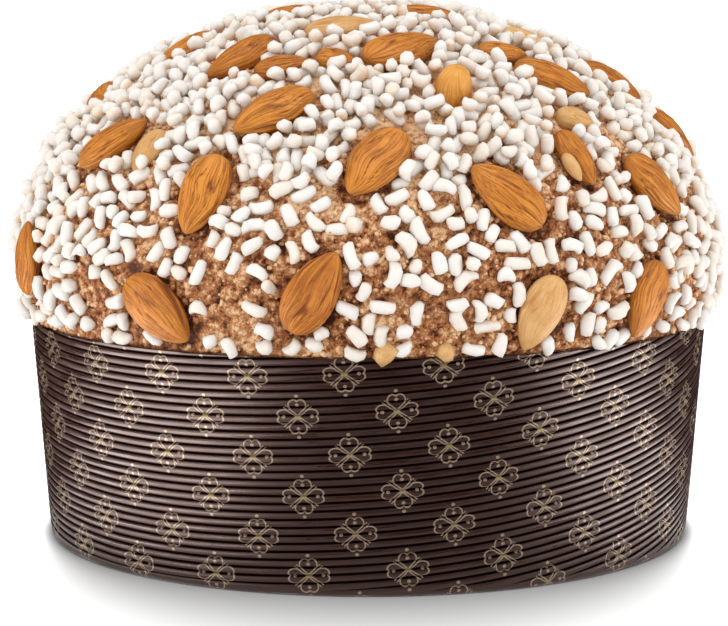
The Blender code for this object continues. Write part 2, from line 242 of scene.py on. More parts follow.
# A heart petal of length 1: middle and radius of its arcs, and how its sides flare from the tip on
ARC_MIDDLE = (0.25, 0.75)
ARC_RADIUS = 0.354
PETAL_FLARE = (0.55, 0.9)
# How far from the flower's middle the blobs, the strokes and the dots lie
BLOBS_AT = 4.2
STROKES_AT = 4.3
DOTS_AT = 7.3
# Distances at which ink has faded out, and at which it is full
BLOB_INK = (0.66, 0.44)
DOT_INK = (0.66, 0.48)
HEART_INK = (1.05, 0.75)
STROKE_ENDS = (1.15, 1.0)
STROKE_INK = (0.24, 0.10)
STROKE_ASIDE = 0.45
COSINE_45 = 0.707


def flower_ink(tree, place):
    """Ink masks of the printed flower: all its ink, and the yellow blob in its middle.

    Four heart petals on the two axes are drawn in outline, with a blob inside each near its notch,
    two strokes along each diagonal, and a dot above and below. A heart is a corner of two flaring
    lines closed by two arcs of radius 0.354 about (0.25, 0.75), with its notch at (0, 1).
    """
    def folded(start):
        moved = placed(tree, "ShaderNodeVectorMath", {0: place, 1: start}, operation="SUBTRACT").outputs[0]
        half = tuple(pitch / 2 for pitch in PRINT_PITCH)
        inputs = {0: moved, 1: half, 2: tuple(-reach for reach in half)}
        cell = placed(tree, "ShaderNodeVectorMath", inputs, operation="WRAP").outputs[0]
        flat = stretched(tree, cell, (1.0, 1.0, 0.0))
        return flat, placed(tree, "ShaderNodeVectorMath", {0: flat}, operation="LENGTH").outputs["Value"]

    corner, corner_far = folded(PRINT_START)
    middle, middle_far = folded(tuple(s + p / 2 for s, p in zip(PRINT_START, PRINT_PITCH)))
    nearer = worked(tree, "LESS_THAN", middle_far, corner_far)
    cell = blended(tree, nearer, corner, middle)
    sized = stretched(tree, cell, (1.0, 1.0 / PRINT_SQUEEZE, 0.0))
    folded_once = placed(tree, "ShaderNodeVectorMath", {0: sized}, operation="ABSOLUTE").outputs[0]
    split = placed(tree, "ShaderNodeSeparateXYZ", {0: folded_once})
    side, rise = split.outputs["X"], split.outputs["Y"]
    along = worked(tree, "MAXIMUM", side, rise)
    across = worked(tree, "MINIMUM", side, rise)

    def far(first, second):
        first = worked(tree, "MULTIPLY", first, first)
        second = worked(tree, "MULTIPLY", second, second)
        return worked(tree, "SQRT", worked(tree, "ADD", first, second))

    heart_side = worked(tree, "MULTIPLY", across, PETAL_SLIM / PETAL_LENGTH)
    heart_rise = worked(tree, "DIVIDE", along, PETAL_LENGTH)
    arc = far(worked(tree, "SUBTRACT", heart_side, ARC_MIDDLE[0]),
              worked(tree, "SUBTRACT", heart_rise, ARC_MIDDLE[1]))
    arc = worked(tree, "ABSOLUTE", worked(tree, "SUBTRACT", arc, ARC_RADIUS))
    flare = worked(tree, "ADD", worked(tree, "MULTIPLY", heart_rise, PETAL_FLARE[1]), PETAL_FLARE[0])
    flare = worked(tree, "SUBTRACT", heart_side, worked(tree, "MULTIPLY", heart_rise, flare))
    straight = worked(tree, "MULTIPLY", worked(tree, "ABSOLUTE", flare), COSINE_45)
    notch = far(heart_side, worked(tree, "SUBTRACT", heart_rise, 1.0))
    tip = worked(tree, "MINIMUM", straight, notch)
    beyond = worked(tree, "GREATER_THAN", worked(tree, "ADD", heart_side, heart_rise), 1.0)
    line = worked(tree, "ADD", worked(tree, "MULTIPLY", beyond, arc),
                  worked(tree, "MULTIPLY", worked(tree, "SUBTRACT", 1.0, beyond), tip))
    line = worked(tree, "MULTIPLY", line, PETAL_LENGTH)
    petal = ranged(tree, line, INK_LINE + INK_SOFT, INK_LINE - INK_SOFT)
    blob = ranged(tree, far(across, worked(tree, "SUBTRACT", along, BLOBS_AT)), *BLOB_INK)
    diagonal = worked(tree, "MULTIPLY", worked(tree, "ADD", along, across), COSINE_45)
    aside = worked(tree, "MULTIPLY", worked(tree, "SUBTRACT", along, across), COSINE_45)
    reach = worked(tree, "ABSOLUTE", worked(tree, "SUBTRACT", diagonal, STROKES_AT))
    paired = worked(tree, "ABSOLUTE", worked(tree, "SUBTRACT", aside, STROKE_ASIDE))
    stroke = worked(tree, "MULTIPLY", ranged(tree, reach, *STROKE_ENDS), ranged(tree, paired, *STROKE_INK))
    dot = ranged(tree, far(side, worked(tree, "SUBTRACT", rise, DOTS_AT)), *DOT_INK)
    heart = ranged(tree, far(side, rise), *HEART_INK)
    ink = petal
    for part in (blob, stroke, dot, heart):
        ink = worked(tree, "MAXIMUM", ink, part)
    return ink, heart


def case_paper():
    """Dark brown glossy paper, dull and nearly black in the valleys between its ribs.

    It has faint streaks along the ribs, fibre, and ink that wears thin in places. The valleys hold
    painted shade: the paper is darkened there, the ink thinned, and they are made a nearly black metal,
    which keeps none of the grey sheen that dark paper has. Below UNDER_BASE, on the plain base, the
    pattern lies flat and there is no ink.
    """
    finish, tree, shader = new_finish("case_paper", 0.32, 0.8)
    shader.inputs["Specular Tint"].default_value = PAPER_SHEEN
    strip = marked(tree, "strip", "Vector")
    stands = standing(tree)
    under = placed(tree, "ShaderNodeSeparateXYZ", {0: stands}).outputs["Z"]
    under = worked(tree, "LESS_THAN", under, UNDER_BASE)
    place = stretched(tree, blended(tree, under, strip, stands), FLAT_MILLIMETRES)
    ink, heart = flower_ink(tree, place)
    ink = worked(tree, "MULTIPLY", ink, worked(tree, "SUBTRACT", 1.0, under))
    streak = speckled(tree, stretched(tree, place, STREAK_STRETCH), 1.0, 3.0, 0.6)
    fibre = speckled(tree, place, 3.2, 2.0, 0.6)
    cloud = speckled(tree, place, 0.09, 2.0, 0.5)
    worn = ranged(tree, worked(tree, "ADD", streak, worked(tree, "MULTIPLY", cloud, 0.4)), 0.5, 1.0)
    paper = blended(tree, worn, PAPER_BROWN, PAPER_WORN)
    crest = marked(tree, "crest")
    # Painted shade: the paper is darkened in the valleys between the ribs.
    paper = blended(tree, 1.0, paper, ranged(tree, crest, 0.58, 0.90, 0.7, 1.0), "MULTIPLY")
    cover = worked(tree, "MULTIPLY", ink, ranged(tree, fibre, 0.24, 0.50, 0.35, 0.95))
    # Painted shade: the ink is thinned in the valleys.
    cover = worked(tree, "MULTIPLY", cover, ranged(tree, crest, 0.50, 0.85, 0.75, 1.0))
    gold = blended(tree, heart, INK_GOLD, INK_YELLOW)
    tree.links.new(blended(tree, cover, paper, gold), shader.inputs["Base Color"])
    # Painted shade: the valleys are made a nearly black metal, so they keep no grey sheen.
    painted_valley_shade = ranged(tree, crest, 0.55, 0.88, 1.0, 0.0)
    painted_valley_shade = worked(tree, "MULTIPLY", painted_valley_shade, worked(tree, "SUBTRACT", 1.0, cover))
    tree.links.new(worked(tree, "MAXIMUM", worked(tree, "MULTIPLY", cover, 0.45), painted_valley_shade),
                   shader.inputs["Metallic"])
    rubbed = speckled(tree, stretched(tree, place, RUBBED_STRETCH), 1.0, 2.0, 0.55)
    gloss = worked(tree, "ADD", ranged(tree, streak, 0.2, 0.8, 0.0, 0.14),
                   ranged(tree, rubbed, 0.36, 0.64, 0.18, 0.44))
    tree.links.new(worked(tree, "MAXIMUM", gloss, ranged(tree, crest, 0.60, 0.90, 1.0, 0.2)),
                   shader.inputs["Roughness"])
    relief = worked(tree, "ADD", streak, worked(tree, "MULTIPLY", fibre, 0.5))
    bumped(tree, shader, relief, 0.35, 0.0002)
    return finish


rings, strip, crest = case_rings()
points, faces, first = joined_rings(rings)
case = smooth_piece("ribbed_case", points, faces, case_paper(), strip=strip.reshape(-1, 3)[first],
                    crest=crest.ravel()[first])
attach(case, "root")
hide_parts("paper_case")


# The almonds: whole toasted almonds in their skins, a few blanched ones, a half and some pieces, set
# in the wet glaze before baking. Their skin is drawn into wandering wrinkles from end to end.

WIDEST_RADIUS = 0.1076
WIDEST_HEIGHT = 0.091
CROWN_HEIGHT = 0.1605
EDGE_RADIUS = 0.1047
GAP = 0.0003
EDGE_HEIGHT = CASE_HEIGHT + 2 * GAP
SHOULDER_POWER = 0.957
CROWN_POWER = 1.19
TUCK_POWER = 2.2

# Azimuth, way down the crust, heading of the pointed end (0 is down the crust, 90 is towards a greater
# azimuth), length, kind
ALMONDS = (
    (1, 0.106, -34, 0.0255, "skin"), (-8, 0.143, 150, 0.0255, "skin"), (22, 0.117, -135, 0.0255, "skin"),
    (-27, 0.117, -10, 0.0245, "skin"), (-19, 0.088, -46, 0.0255, "skin"), (-33, 0.150, 49, 0.0250, "skin"),
    (26, 0.150, -21, 0.0225, "blanched"), (-69, 0.141, 169, 0.0230, "skin"),
    (-53, 0.102, 140, 0.0240, "skin"),
    (-43, 0.103, -8, 0.0150, "half"), (-38, 0.062, -22, 0.0240, "skin"), (-72, 0.059, 10, 0.0225, "skin"),
    (-81, 0.087, 90, 0.0230, "skin"), (-60, 0.024, 150, 0.0230, "skin"),
    (-12, 0.038, 105, 0.0225, "blanched"),
    (10, 0.056, 119, 0.0260, "skin"), (48, 0.026, 40, 0.0230, "skin"), (19, 0.077, 60, 0.0230, "upright"),
    (48, 0.075, 45, 0.0240, "skin"), (78, 0.079, 38, 0.0240, "skin"), (71, 0.053, 30, 0.0200, "blanched"),
    (44, 0.058, 70, 0.0160, "skin"), (38, 0.106, 9, 0.0190, "skin"), (54, 0.117, 37, 0.0240, "skin"),
    (80, 0.104, 30, 0.0245, "skin"), (44, 0.092, 70, 0.0125, "piece"), (47, 0.149, -26, 0.0235, "skin"),
    (-23, 0.066, 115, 0.0165, "skin"), (-9, 0.061, 80, 0.0120, "piece"),
    (101, 0.143, 20, 0.0240, "skin"), (123, 0.149, -60, 0.0250, "skin"), (148, 0.142, 160, 0.0245, "skin"),
    (182, 0.148, 35, 0.0230, "blanched"), (207, 0.143, -150, 0.0250, "skin"),
    (236, 0.150, 65, 0.0245, "skin"),
    (258, 0.144, -20, 0.0240, "skin"), (103, 0.112, -100, 0.0250, "skin"), (126, 0.118, 25, 0.0240, "skin"),
    (155, 0.110, -40, 0.0250, "skin"), (178, 0.119, 120, 0.0245, "skin"),
    (204, 0.109, 10, 0.0225, "blanched"),
    (228, 0.118, -125, 0.0250, "skin"), (254, 0.116, 50, 0.0240, "skin"), (108, 0.082, 60, 0.0250, "skin"),
    (139, 0.088, -20, 0.0225, "blanched"), (170, 0.083, 150, 0.0250, "skin"),
    (205, 0.079, -75, 0.0245, "skin"),
    (238, 0.087, 30, 0.0240, "skin"), (115, 0.052, -30, 0.0240, "skin"), (158, 0.055, 95, 0.0250, "skin"),
    (200, 0.050, 20, 0.0240, "skin"), (244, 0.058, -110, 0.0220, "blanched"),
    (172, 0.034, 65, 0.0235, "skin"),
)
ALMOND_SEED = 7
MOST_LEAN = 4.0
MOST_TWIST = 9.0
UNEVEN = 0.055
ALMOND_WIDTH = 0.59
ALMOND_THICKNESS = 0.345
BLUNT_POWER = 0.46
POINT_POWER = 0.66
RISE = {"skin": 0.14, "blanched": 0.12, "half": -0.05, "piece": 0.10, "upright": -0.45}
FIGURE = {"skin": (1.0, 1.0), "blanched": (0.98, 0.95), "half": (1.05, 0.75), "piece": (1.15, 1.50),
          "upright": (0.95, 1.45)}
ALMOND_SIDES = 96
ALMOND_ROWS = 40
WRINKLE_DEPTH = {"skin": 0.00040, "blanched": 0.00009, "half": 0.00006, "piece": 0.00012, "upright": 0.00016}
# Coarse wrinkles and the fine ones between them: how close they stand, and how sharp they are
WRINKLE_STRETCH = np.array([4.6, 4.6, 1.4])
WRINKLE_SHARP = 6.0
FINE_STRETCH = np.array([1.7, 1.7, 1.2])
FINE_SHARP = 5.0
SKIN_LINES = (6.5, 6.5, 1.4)
# The groove tones are painted shade, laid in the wrinkles' grooves and fine lines
SKIN_LIGHT = (0.61, 0.228, 0.029, 1.0)
SKIN_DEEP = (0.42, 0.128, 0.013, 1.0)
SKIN_GROOVE_SHADE = (0.16, 0.029, 0.002, 1.0)
BLANCHED_LIGHT = (0.66, 0.405, 0.170, 1.0)
BLANCHED_DEEP = (0.52, 0.265, 0.085, 1.0)
BLANCHED_GROOVE_SHADE = (0.42, 0.18, 0.045, 1.0)
GOLDEN_LIGHT = (0.74, 0.36, 0.075, 1.0)
GOLDEN_DEEP = (0.58, 0.23, 0.035, 1.0)
GOLDEN_GROOVE_SHADE = (0.36, 0.11, 0.012, 1.0)
BROWN_PIECES = (29,)
SPLIT_ALMOND = 23
SLAB_PLACE = (0.16, -0.47, 0.10)
SLAB_SIZE = (0.0095, 0.0038, 0.0042)


def crust_outline(count):
    """Radius and height of the crust from the crown down to the edge that lies over the rim.

    Above the widest place the outline is a stretched quarter ellipse, whose powers flatten the
    crown and fill the shoulder. Below it the crust tucks in towards the rim by a power curve.
    """
    turn = np.linspace(math.pi / 2, 0.0, count)
    cosine = np.clip(np.cos(turn), 0.0, 1.0)
    sine = np.clip(np.sin(turn), 0.0, 1.0)
    upper_radius = WIDEST_RADIUS * cosine ** SHOULDER_POWER
    upper_height = WIDEST_HEIGHT + (CROWN_HEIGHT - WIDEST_HEIGHT) * sine ** CROWN_POWER
    fall = np.linspace(0.0, 1.0, count // 4 + 1)[1:]
    lower_radius = WIDEST_RADIUS - (WIDEST_RADIUS - EDGE_RADIUS) * fall ** TUCK_POWER
    lower_height = WIDEST_HEIGHT - (WIDEST_HEIGHT - EDGE_HEIGHT) * fall
    upper_radius[0] = 0.0
    return np.concatenate([upper_radius, lower_radius]), np.concatenate([upper_height, lower_height])


FINE_RADIUS, FINE_HEIGHT = crust_outline(1600)
FINE_WAY = np.concatenate([[0.0], np.cumsum(np.hypot(np.diff(FINE_RADIUS), np.diff(FINE_HEIGHT)))])
CRUST_LENGTH = FINE_WAY[-1]
# The crust's area from the crown down to each way, for one radian of turn
CRUST_AREA = np.concatenate([[0.0], np.cumsum(FINE_RADIUS[1:] * np.diff(FINE_WAY))])


def on_crust(azimuth, way):
    """Points on the smooth crust with their three directions: down the crust, around it and out of it."""
    azimuth, way = np.broadcast_arrays(np.radians(azimuth), way)
    step = 0.0004
    radius = np.interp(way, FINE_WAY, FINE_RADIUS)
    height = np.interp(way, FINE_WAY, FINE_HEIGHT)
    grow = np.interp(way + step, FINE_WAY, FINE_RADIUS) - np.interp(way - step, FINE_WAY, FINE_RADIUS)
    drop = np.interp(way + step, FINE_WAY, FINE_HEIGHT) - np.interp(way - step, FINE_WAY, FINE_HEIGHT)
    size = np.hypot(grow, drop)
    grow, drop = grow / size, drop / size
    side, front = np.sin(azimuth), -np.cos(azimuth)
    point = np.stack([radius * side, radius * front, height], -1)
    down = np.stack([grow * side, grow * front, drop], -1)
    around = np.stack([-front, side, np.zeros_like(side)], -1)
    out = np.stack([-drop * side, -drop * front, grow], -1)
    return point, down, around, out


def half_width(share):
    """Half an almond's width at a share of its length, blunt end to pointed end, with 1 as the most."""
    widest = BLUNT_POWER / (BLUNT_POWER + POINT_POWER)
    most = widest ** BLUNT_POWER * (1 - widest) ** POINT_POWER
    return share ** BLUNT_POWER * (1 - share) ** POINT_POWER / most


def almond_frames():
    """For each almond: middle, three axes as rows (length, width, thickness) and its three sizes."""
    draw = np.random.default_rng(ALMOND_SEED)
    frames = []
    for azimuth, way, heading, length, kind in ALMONDS:
        point, down, around, up = on_crust(azimuth, way)
        lean, twist, broad, thick = draw.uniform(-1.0, 1.0, 4)
        turn = math.radians(heading)
        level = math.cos(turn) * down + math.sin(turn) * around
        lean = math.radians(-90.0 if kind == "upright" else MOST_LEAN * lean)
        twist = math.radians(MOST_TWIST * twist)
        along = math.cos(lean) * level + math.sin(lean) * up
        top = math.cos(lean) * up - math.sin(lean) * level
        side = np.cross(top, along)
        across = math.cos(twist) * side + math.sin(twist) * top
        out = math.cos(twist) * top - math.sin(twist) * side
        middle = point + RISE[kind] * length * ALMOND_THICKNESS * up
        wide, deep = FIGURE[kind]
        width = length * ALMOND_WIDTH * wide * (1 + UNEVEN * broad)
        depth = length * ALMOND_THICKNESS * deep * (1 + UNEVEN * thick)
        frames.append((middle, np.stack([along, across, out]), (length, width, depth)))
    return frames


def cell_number(cell, seed):
    """A number from 0 to 4095 for each cell of a cubic lattice, the same for the same seed."""
    mixed = (cell[..., 0] * 73856093) ^ (cell[..., 1] * 19349663) ^ (cell[..., 2] * 83492791) ^ (seed * 7919)
    return (mixed ^ (mixed >> 13)) & 4095


def soft_noise(points, size, seed):
    """Numbers from 0 to 1 drawn for the corners of a cubic lattice of that size, blended in between."""
    drawn = np.random.default_rng(seed).random(4096)
    scaled = points / size
    cell = np.floor(scaled).astype(np.int64)
    part = scaled - cell
    part = part * part * (3 - 2 * part)
    total = np.zeros(points.shape[:-1])
    for corner in np.ndindex(2, 2, 2):
        weight = np.prod(np.where(np.array(corner) == 1, part, 1 - part), axis=-1)
        total += weight * drawn[cell_number(cell + corner, seed)]
    return total


def almond_rings(middle, axes, sizes, depth, seed):
    """One almond as rings round its length, how deep each point lies in a wrinkle, and its lay.

    A wrinkle runs where a noise, drawn out along the almond, passes its middle value. The lay is a
    place on a cylinder of radius 1, with the share of the almond's length as height, and it starts
    at another height for each almond.
    """
    length, width, thickness = sizes
    share = (1 - np.cos(np.linspace(0.0, math.pi, ALMOND_ROWS)))[:, None] / 2
    angle = np.linspace(0.0, math.tau, ALMOND_SIDES, endpoint=False)[None, :]
    girth = half_width(share)
    wander = angle + 0.10 * np.sin(6.0 * share + seed) + 0.05 * np.sin(13.0 * share + 3 * seed)
    lay = np.stack(np.broadcast_arrays(np.cos(wander), np.sin(wander), share), -1)
    place = lay * WRINKLE_STRETCH + np.array([0.0, 0.0, 10.0 * seed])
    coarse = 1 - np.abs(2 * soft_noise(place, 1.0, 11) - 1) * WRINKLE_SHARP
    fine = 1 - np.abs(2 * soft_noise(place * FINE_STRETCH, 1.0, 12) - 1) * FINE_SHARP
    groove = np.clip(np.maximum(coarse, 0.7 * fine), 0.0, 1.0)
    groove = groove * np.clip(6 * share * (1 - share), 0.0, 1.0) ** 0.5
    lump = soft_noise(lay * np.array([1.3, 1.3, 3.0]) + 5.0 * seed, 1.0, 13) - 0.5
    swell = girth * (1 + 0.06 * lump)
    across = np.cos(angle) / width
    outward = np.sin(angle) / thickness
    size = np.hypot(across, outward)
    sunk = depth * groove * np.clip(girth * 1.6, 0.0, 1.0)
    local = np.stack(np.broadcast_arrays(
        (share - 0.5) * length,
        np.cos(angle) * swell * width / 2 - sunk * across / size,
        np.sin(angle) * swell * thickness / 2 - sunk * outward / size), -1)
    local[[0, -1], :, 1:] = 0.0
    return middle + local @ axes, groove, lay + np.array([0.0, 0.0, 3.0 * seed])


def almond_grain():
    """A node group for the three almond finishes: colour from three tones, and a fine relief.

    Object coordinates give clouds of the first two tones. The wrinkle mark, and fine lines drawn out
    along the lay, take the third, a painted shade in the grooves.
    """
    group = bpy.data.node_groups.new("almond_grain", "ShaderNodeTree")
    for name in ("Light", "Deep", "Groove_shade"):
        group.interface.new_socket(name, in_out="INPUT", socket_type="NodeSocketColor")
    group.interface.new_socket("Colour", in_out="OUTPUT", socket_type="NodeSocketColor")
    group.interface.new_socket("Relief", in_out="OUTPUT", socket_type="NodeSocketFloat")
    entry = group.nodes.new("NodeGroupInput").outputs
    leave = group.nodes.new("NodeGroupOutput").inputs
    place = standing(group)
    wrinkle = marked(group, "wrinkle")
    shade = marked(group, "shade")
    drawn = stretched(group, marked(group, "lay", "Vector"), SKIN_LINES)
    line = worked(group, "ABSOLUTE", worked(group, "SUBTRACT", speckled(group, drawn, 1.0, 1.5, 0.45), 0.5))
    line = ranged(group, line, 0.0, 0.06, 1.0, 0.0)
    cloud = speckled(group, place, 210.0, 3.0, 0.6)
    fleck = speckled(group, place, 1500.0, 2.0, 0.6)
    deep = worked(group, "ADD", worked(group, "MULTIPLY", ranged(group, cloud, 0.30, 0.72), 0.6), shade)
    deep = worked(group, "ADD", deep, ranged(group, fleck, 0.5, 0.8, 0.0, 0.25))
    tone = blended(group, deep, entry["Light"], entry["Deep"])
    # Painted shade: the wrinkles' grooves and the fine lines take the groove tone.
    groove = worked(group, "MAXIMUM", ranged(group, wrinkle, 0.35, 1.0, 0.0, 0.9),
                    worked(group, "MULTIPLY", line, 0.45))
    tone = blended(group, groove, tone, entry["Groove_shade"])
    group.links.new(tone, leave["Colour"])
    relief = worked(group, "SUBTRACT", worked(group, "MULTIPLY", fleck, 0.25), line)
    group.links.new(relief, leave["Relief"])
    return group


def almond_finish(name, group, tones, roughness, bump_depth):
    """Satin skin: the grain group's colours, its relief as a bump."""
    finish, tree, shader = new_finish(name, roughness, 0.30)
    grain = tree.nodes.new("ShaderNodeGroup")
    grain.node_tree = group
    for socket, tone in zip(("Light", "Deep", "Groove_shade"), tones):
        grain.inputs[socket].default_value = tone
    tree.links.new(grain.outputs["Colour"], shader.inputs["Base Color"])
    bumped(tree, shader, grain.outputs["Relief"], 0.7, bump_depth)
    return finish


grain_group = almond_grain()
skin_finish = almond_finish("almond_skin", grain_group, (SKIN_LIGHT, SKIN_DEEP, SKIN_GROOVE_SHADE), 0.46, 0.00034)
golden_finish = almond_finish("peeling_almond", grain_group,
                              (GOLDEN_LIGHT, GOLDEN_DEEP, GOLDEN_GROOVE_SHADE), 0.42, 0.0001)
blanched_finish = almond_finish("blanched_almond", grain_group,
                                (BLANCHED_LIGHT, BLANCHED_DEEP, BLANCHED_GROOVE_SHADE), 0.44, 0.00005)
shades = np.random.default_rng(19).uniform(-0.15, 0.45, len(ALMONDS))
for number, (middle, axes, sizes) in enumerate(almond_frames(), start=1):
    kind = ALMONDS[number - 1][4]
    rings, groove, lay = almond_rings(middle, axes, sizes, WRINKLE_DEPTH[kind], number)
    points, faces, first = joined_rings(rings)
    pale = kind in ("blanched", "half", "piece") and number not in BROWN_PIECES
    finish = blanched_finish if pale else golden_finish if kind == "upright" else skin_finish
    shade = np.full(len(points), shades[number - 1])
    almond = smooth_piece(f"baked_almond_{number:02d}", points, faces, finish, wrinkle=groove.ravel()[first],
                          shade=shade, lay=lay.reshape(-1, 3)[first])
    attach(almond, "root")
    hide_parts(f"almond_{number:02d}")

# One almond is split: a pale slab of its inside stands out along its lower left edge.
middle, axes, sizes = almond_frames()[SPLIT_ALMOND - 1]
SLAB_MIDDLE = middle + np.multiply(SLAB_PLACE, sizes) @ axes
rings, _, lay = almond_rings(SLAB_MIDDLE, axes, SLAB_SIZE, 0.0, SPLIT_ALMOND)
points, faces, first = joined_rings(rings)
slab = smooth_piece("split_almond_slab", points, faces, blanched_finish, wrinkle=np.zeros(len(points)),
                    shade=np.zeros(len(points)), lay=lay.reshape(-1, 3)[first])
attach(slab, "root")
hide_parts(f"almond_{SPLIT_ALMOND:02d}")


# The crust: a glaze of ground almonds, sugar and egg white, spread on the dough and baked until it
# crackles. It is granular, with painted shade that leaves it tan on its nubs and brown in its pits and
# cracks, and it is darker where it meets an almond.

CRUST_COLUMNS = 600
CRUST_ROWS = 158
CRAG_DEPTH = 0.0008
MOAT_DEPTH = 0.0009
MOAT_REACH = 0.0016
# The crust is painted lighter towards the top, from this height on: a painted light that lifts the shade
# between the sugar grains
PAINTED_LIGHT_FROM = 0.102
PAINTED_LIGHT_ON_TOP = 0.70
CRUST_PIT = (0.056, 0.010, 0.001, 1.0)
CRUST_BROWN = (0.265, 0.083, 0.020, 1.0)
CRUST_TAN = (0.455, 0.208, 0.082, 1.0)
CRUST_PALE = (0.73, 0.47, 0.270, 1.0)
CRUST_AMBER = (0.62, 0.21, 0.045, 1.0)


def almond_balls():
    """The almonds as rows of balls along their length: the balls' middles and radii."""
    middles, radii = [], []
    for middle, axes, (length, width, depth) in almond_frames():
        for share in (0.12, 0.30, 0.45, 0.62, 0.80, 0.93):
            middles.append(middle + (share - 0.5) * length * axes[0])
            radii.append(half_width(share) * width / 2)
    return np.array(middles), np.array(radii)


ALMOND_BALLS, ALMOND_RADII = almond_balls()


def room_to_almonds(points):
    """Distance from each point to the nearest ball of an almond, negative inside one."""
    room = np.full(points.shape[:-1], 1.0)
    for ball, radius in zip(ALMOND_BALLS, ALMOND_RADII):
        room = np.minimum(room, np.linalg.norm(points - ball, axis=-1) - radius)
    return room


def nub_field(points, size, seed):
    """Distances to the nearest and next of points scattered one to a cell of a cubic lattice, in cells."""
    drawn = np.random.default_rng(seed).random((4096, 3))
    scaled = points / size
    cell = np.floor(scaled).astype(np.int64)
    nearest = np.full(points.shape[:-1], 9.0)
    second = nearest.copy()
    for offset in np.ndindex(3, 3, 3):
        place = cell + (np.array(offset) - 1)
        far = np.linalg.norm(place + drawn[cell_number(place, seed)] - scaled, axis=-1)
        second = np.minimum(second, np.maximum(nearest, far))
        nearest = np.minimum(nearest, far)
    return nearest, second


def crag(points):
    """How far a crust point sinks below the smooth outline, from 0 to CRAG_DEPTH: crossed waves."""
    x, y, z = points[..., 0], points[..., 1], points[..., 2]
    wave = (np.sin(230 * x + 120 * y - 90 * z + 0.4) + np.sin(-140 * x + 260 * y + 110 * z + 2.1)
            + np.sin(330 * x - 210 * y + 170 * z + 4.0) + np.sin(170 * x + 310 * y - 260 * z + 1.2))
    return CRAG_DEPTH * (0.5 + wave / 8)


def crust_relief(points):
    """Height of the baked crust over the smooth outline, and how browned it is, from 0 to 1.

    Crossed waves, soft lumps of 7 mm, nubs of 3.4 mm and 2.1 mm with cracks between, and a moat
    round each almond, darker in colour. The brown is painted shade: darker low on the lumps, between
    the nubs and in the cracks. The top is painted lighter, a painted light that lifts the shade
    between the sugar grains.
    """
    lumps = soft_noise(points, 0.007, 21) - 0.5
    nearest, second = nub_field(points, 0.0034, 22)
    nubs = 1 - np.clip(nearest, 0.0, 1.0) ** 2
    fine_nubs = 1 - np.clip(nub_field(points, 0.0021, 23)[0], 0.0, 1.0) ** 2
    crack = np.clip(1 - (second - nearest) / 0.22, 0.0, 1.0) * np.clip(2.4 * lumps + 0.6, 0.0, 1.0)
    room = room_to_almonds(points)
    moat = np.exp(-(np.clip(room, 0.0, 1.0) / MOAT_REACH) ** 2)
    rise = 0.0012 * lumps + 0.0008 * (nubs - 0.6) + 0.0005 * (fine_nubs - 0.6) - 0.0007 * crack
    rise = rise - crag(points) - MOAT_DEPTH * moat
    # Painted shade: darker between the nubs, in the cracks and low on the lumps; darker round the almonds.
    brown = 0.57 - 0.45 * (nubs - 0.6) - 0.55 * (fine_nubs - 0.6) + 0.35 * crack + 0.35 * moat - 0.35 * lumps
    # Painted light: paler towards the top, among the sugar.
    brown = brown - PAINTED_LIGHT_ON_TOP * np.clip((points[..., 2] - PAINTED_LIGHT_FROM) / 0.04, 0.0, 1.0)
    return rise, np.clip(brown, 0.0, 1.0)


def crust_rings():
    """The loaf as rings: up from its base inside the case, and over its crust to the crown."""
    azimuth = np.linspace(0.0, 360.0, CRUST_COLUMNS, endpoint=False)[None, :]
    way = np.linspace(CRUST_LENGTH, 0.0, CRUST_ROWS)[:, None]
    point, down, around, out = on_crust(azimuth, way)
    rise, brown = crust_relief(point)
    rise[-1] = rise[-1].mean()
    brown[-1] = brown[-1].mean()
    out[-1] = (0.0, 0.0, 1.0)
    crust = point + rise[..., None] * out
    crust[-1] = crust[-1].mean(axis=0)
    inside_top = RIM_RADIUS - WALL - GAP
    inside_foot = BASE_RADIUS + CASE_LEAN * (WALL + GAP) - WALL - GAP
    turn = np.radians(azimuth[0])
    inside = [(0.0, WALL + GAP), (inside_foot, WALL + GAP), (inside_top, EDGE_HEIGHT - GAP)]
    rows = [np.stack([r * np.sin(turn), -r * np.cos(turn), np.full_like(turn, z)], -1) for r, z in inside]
    return np.concatenate([np.array(rows), crust]), np.concatenate([np.full((3, CRUST_COLUMNS), 0.6), brown])


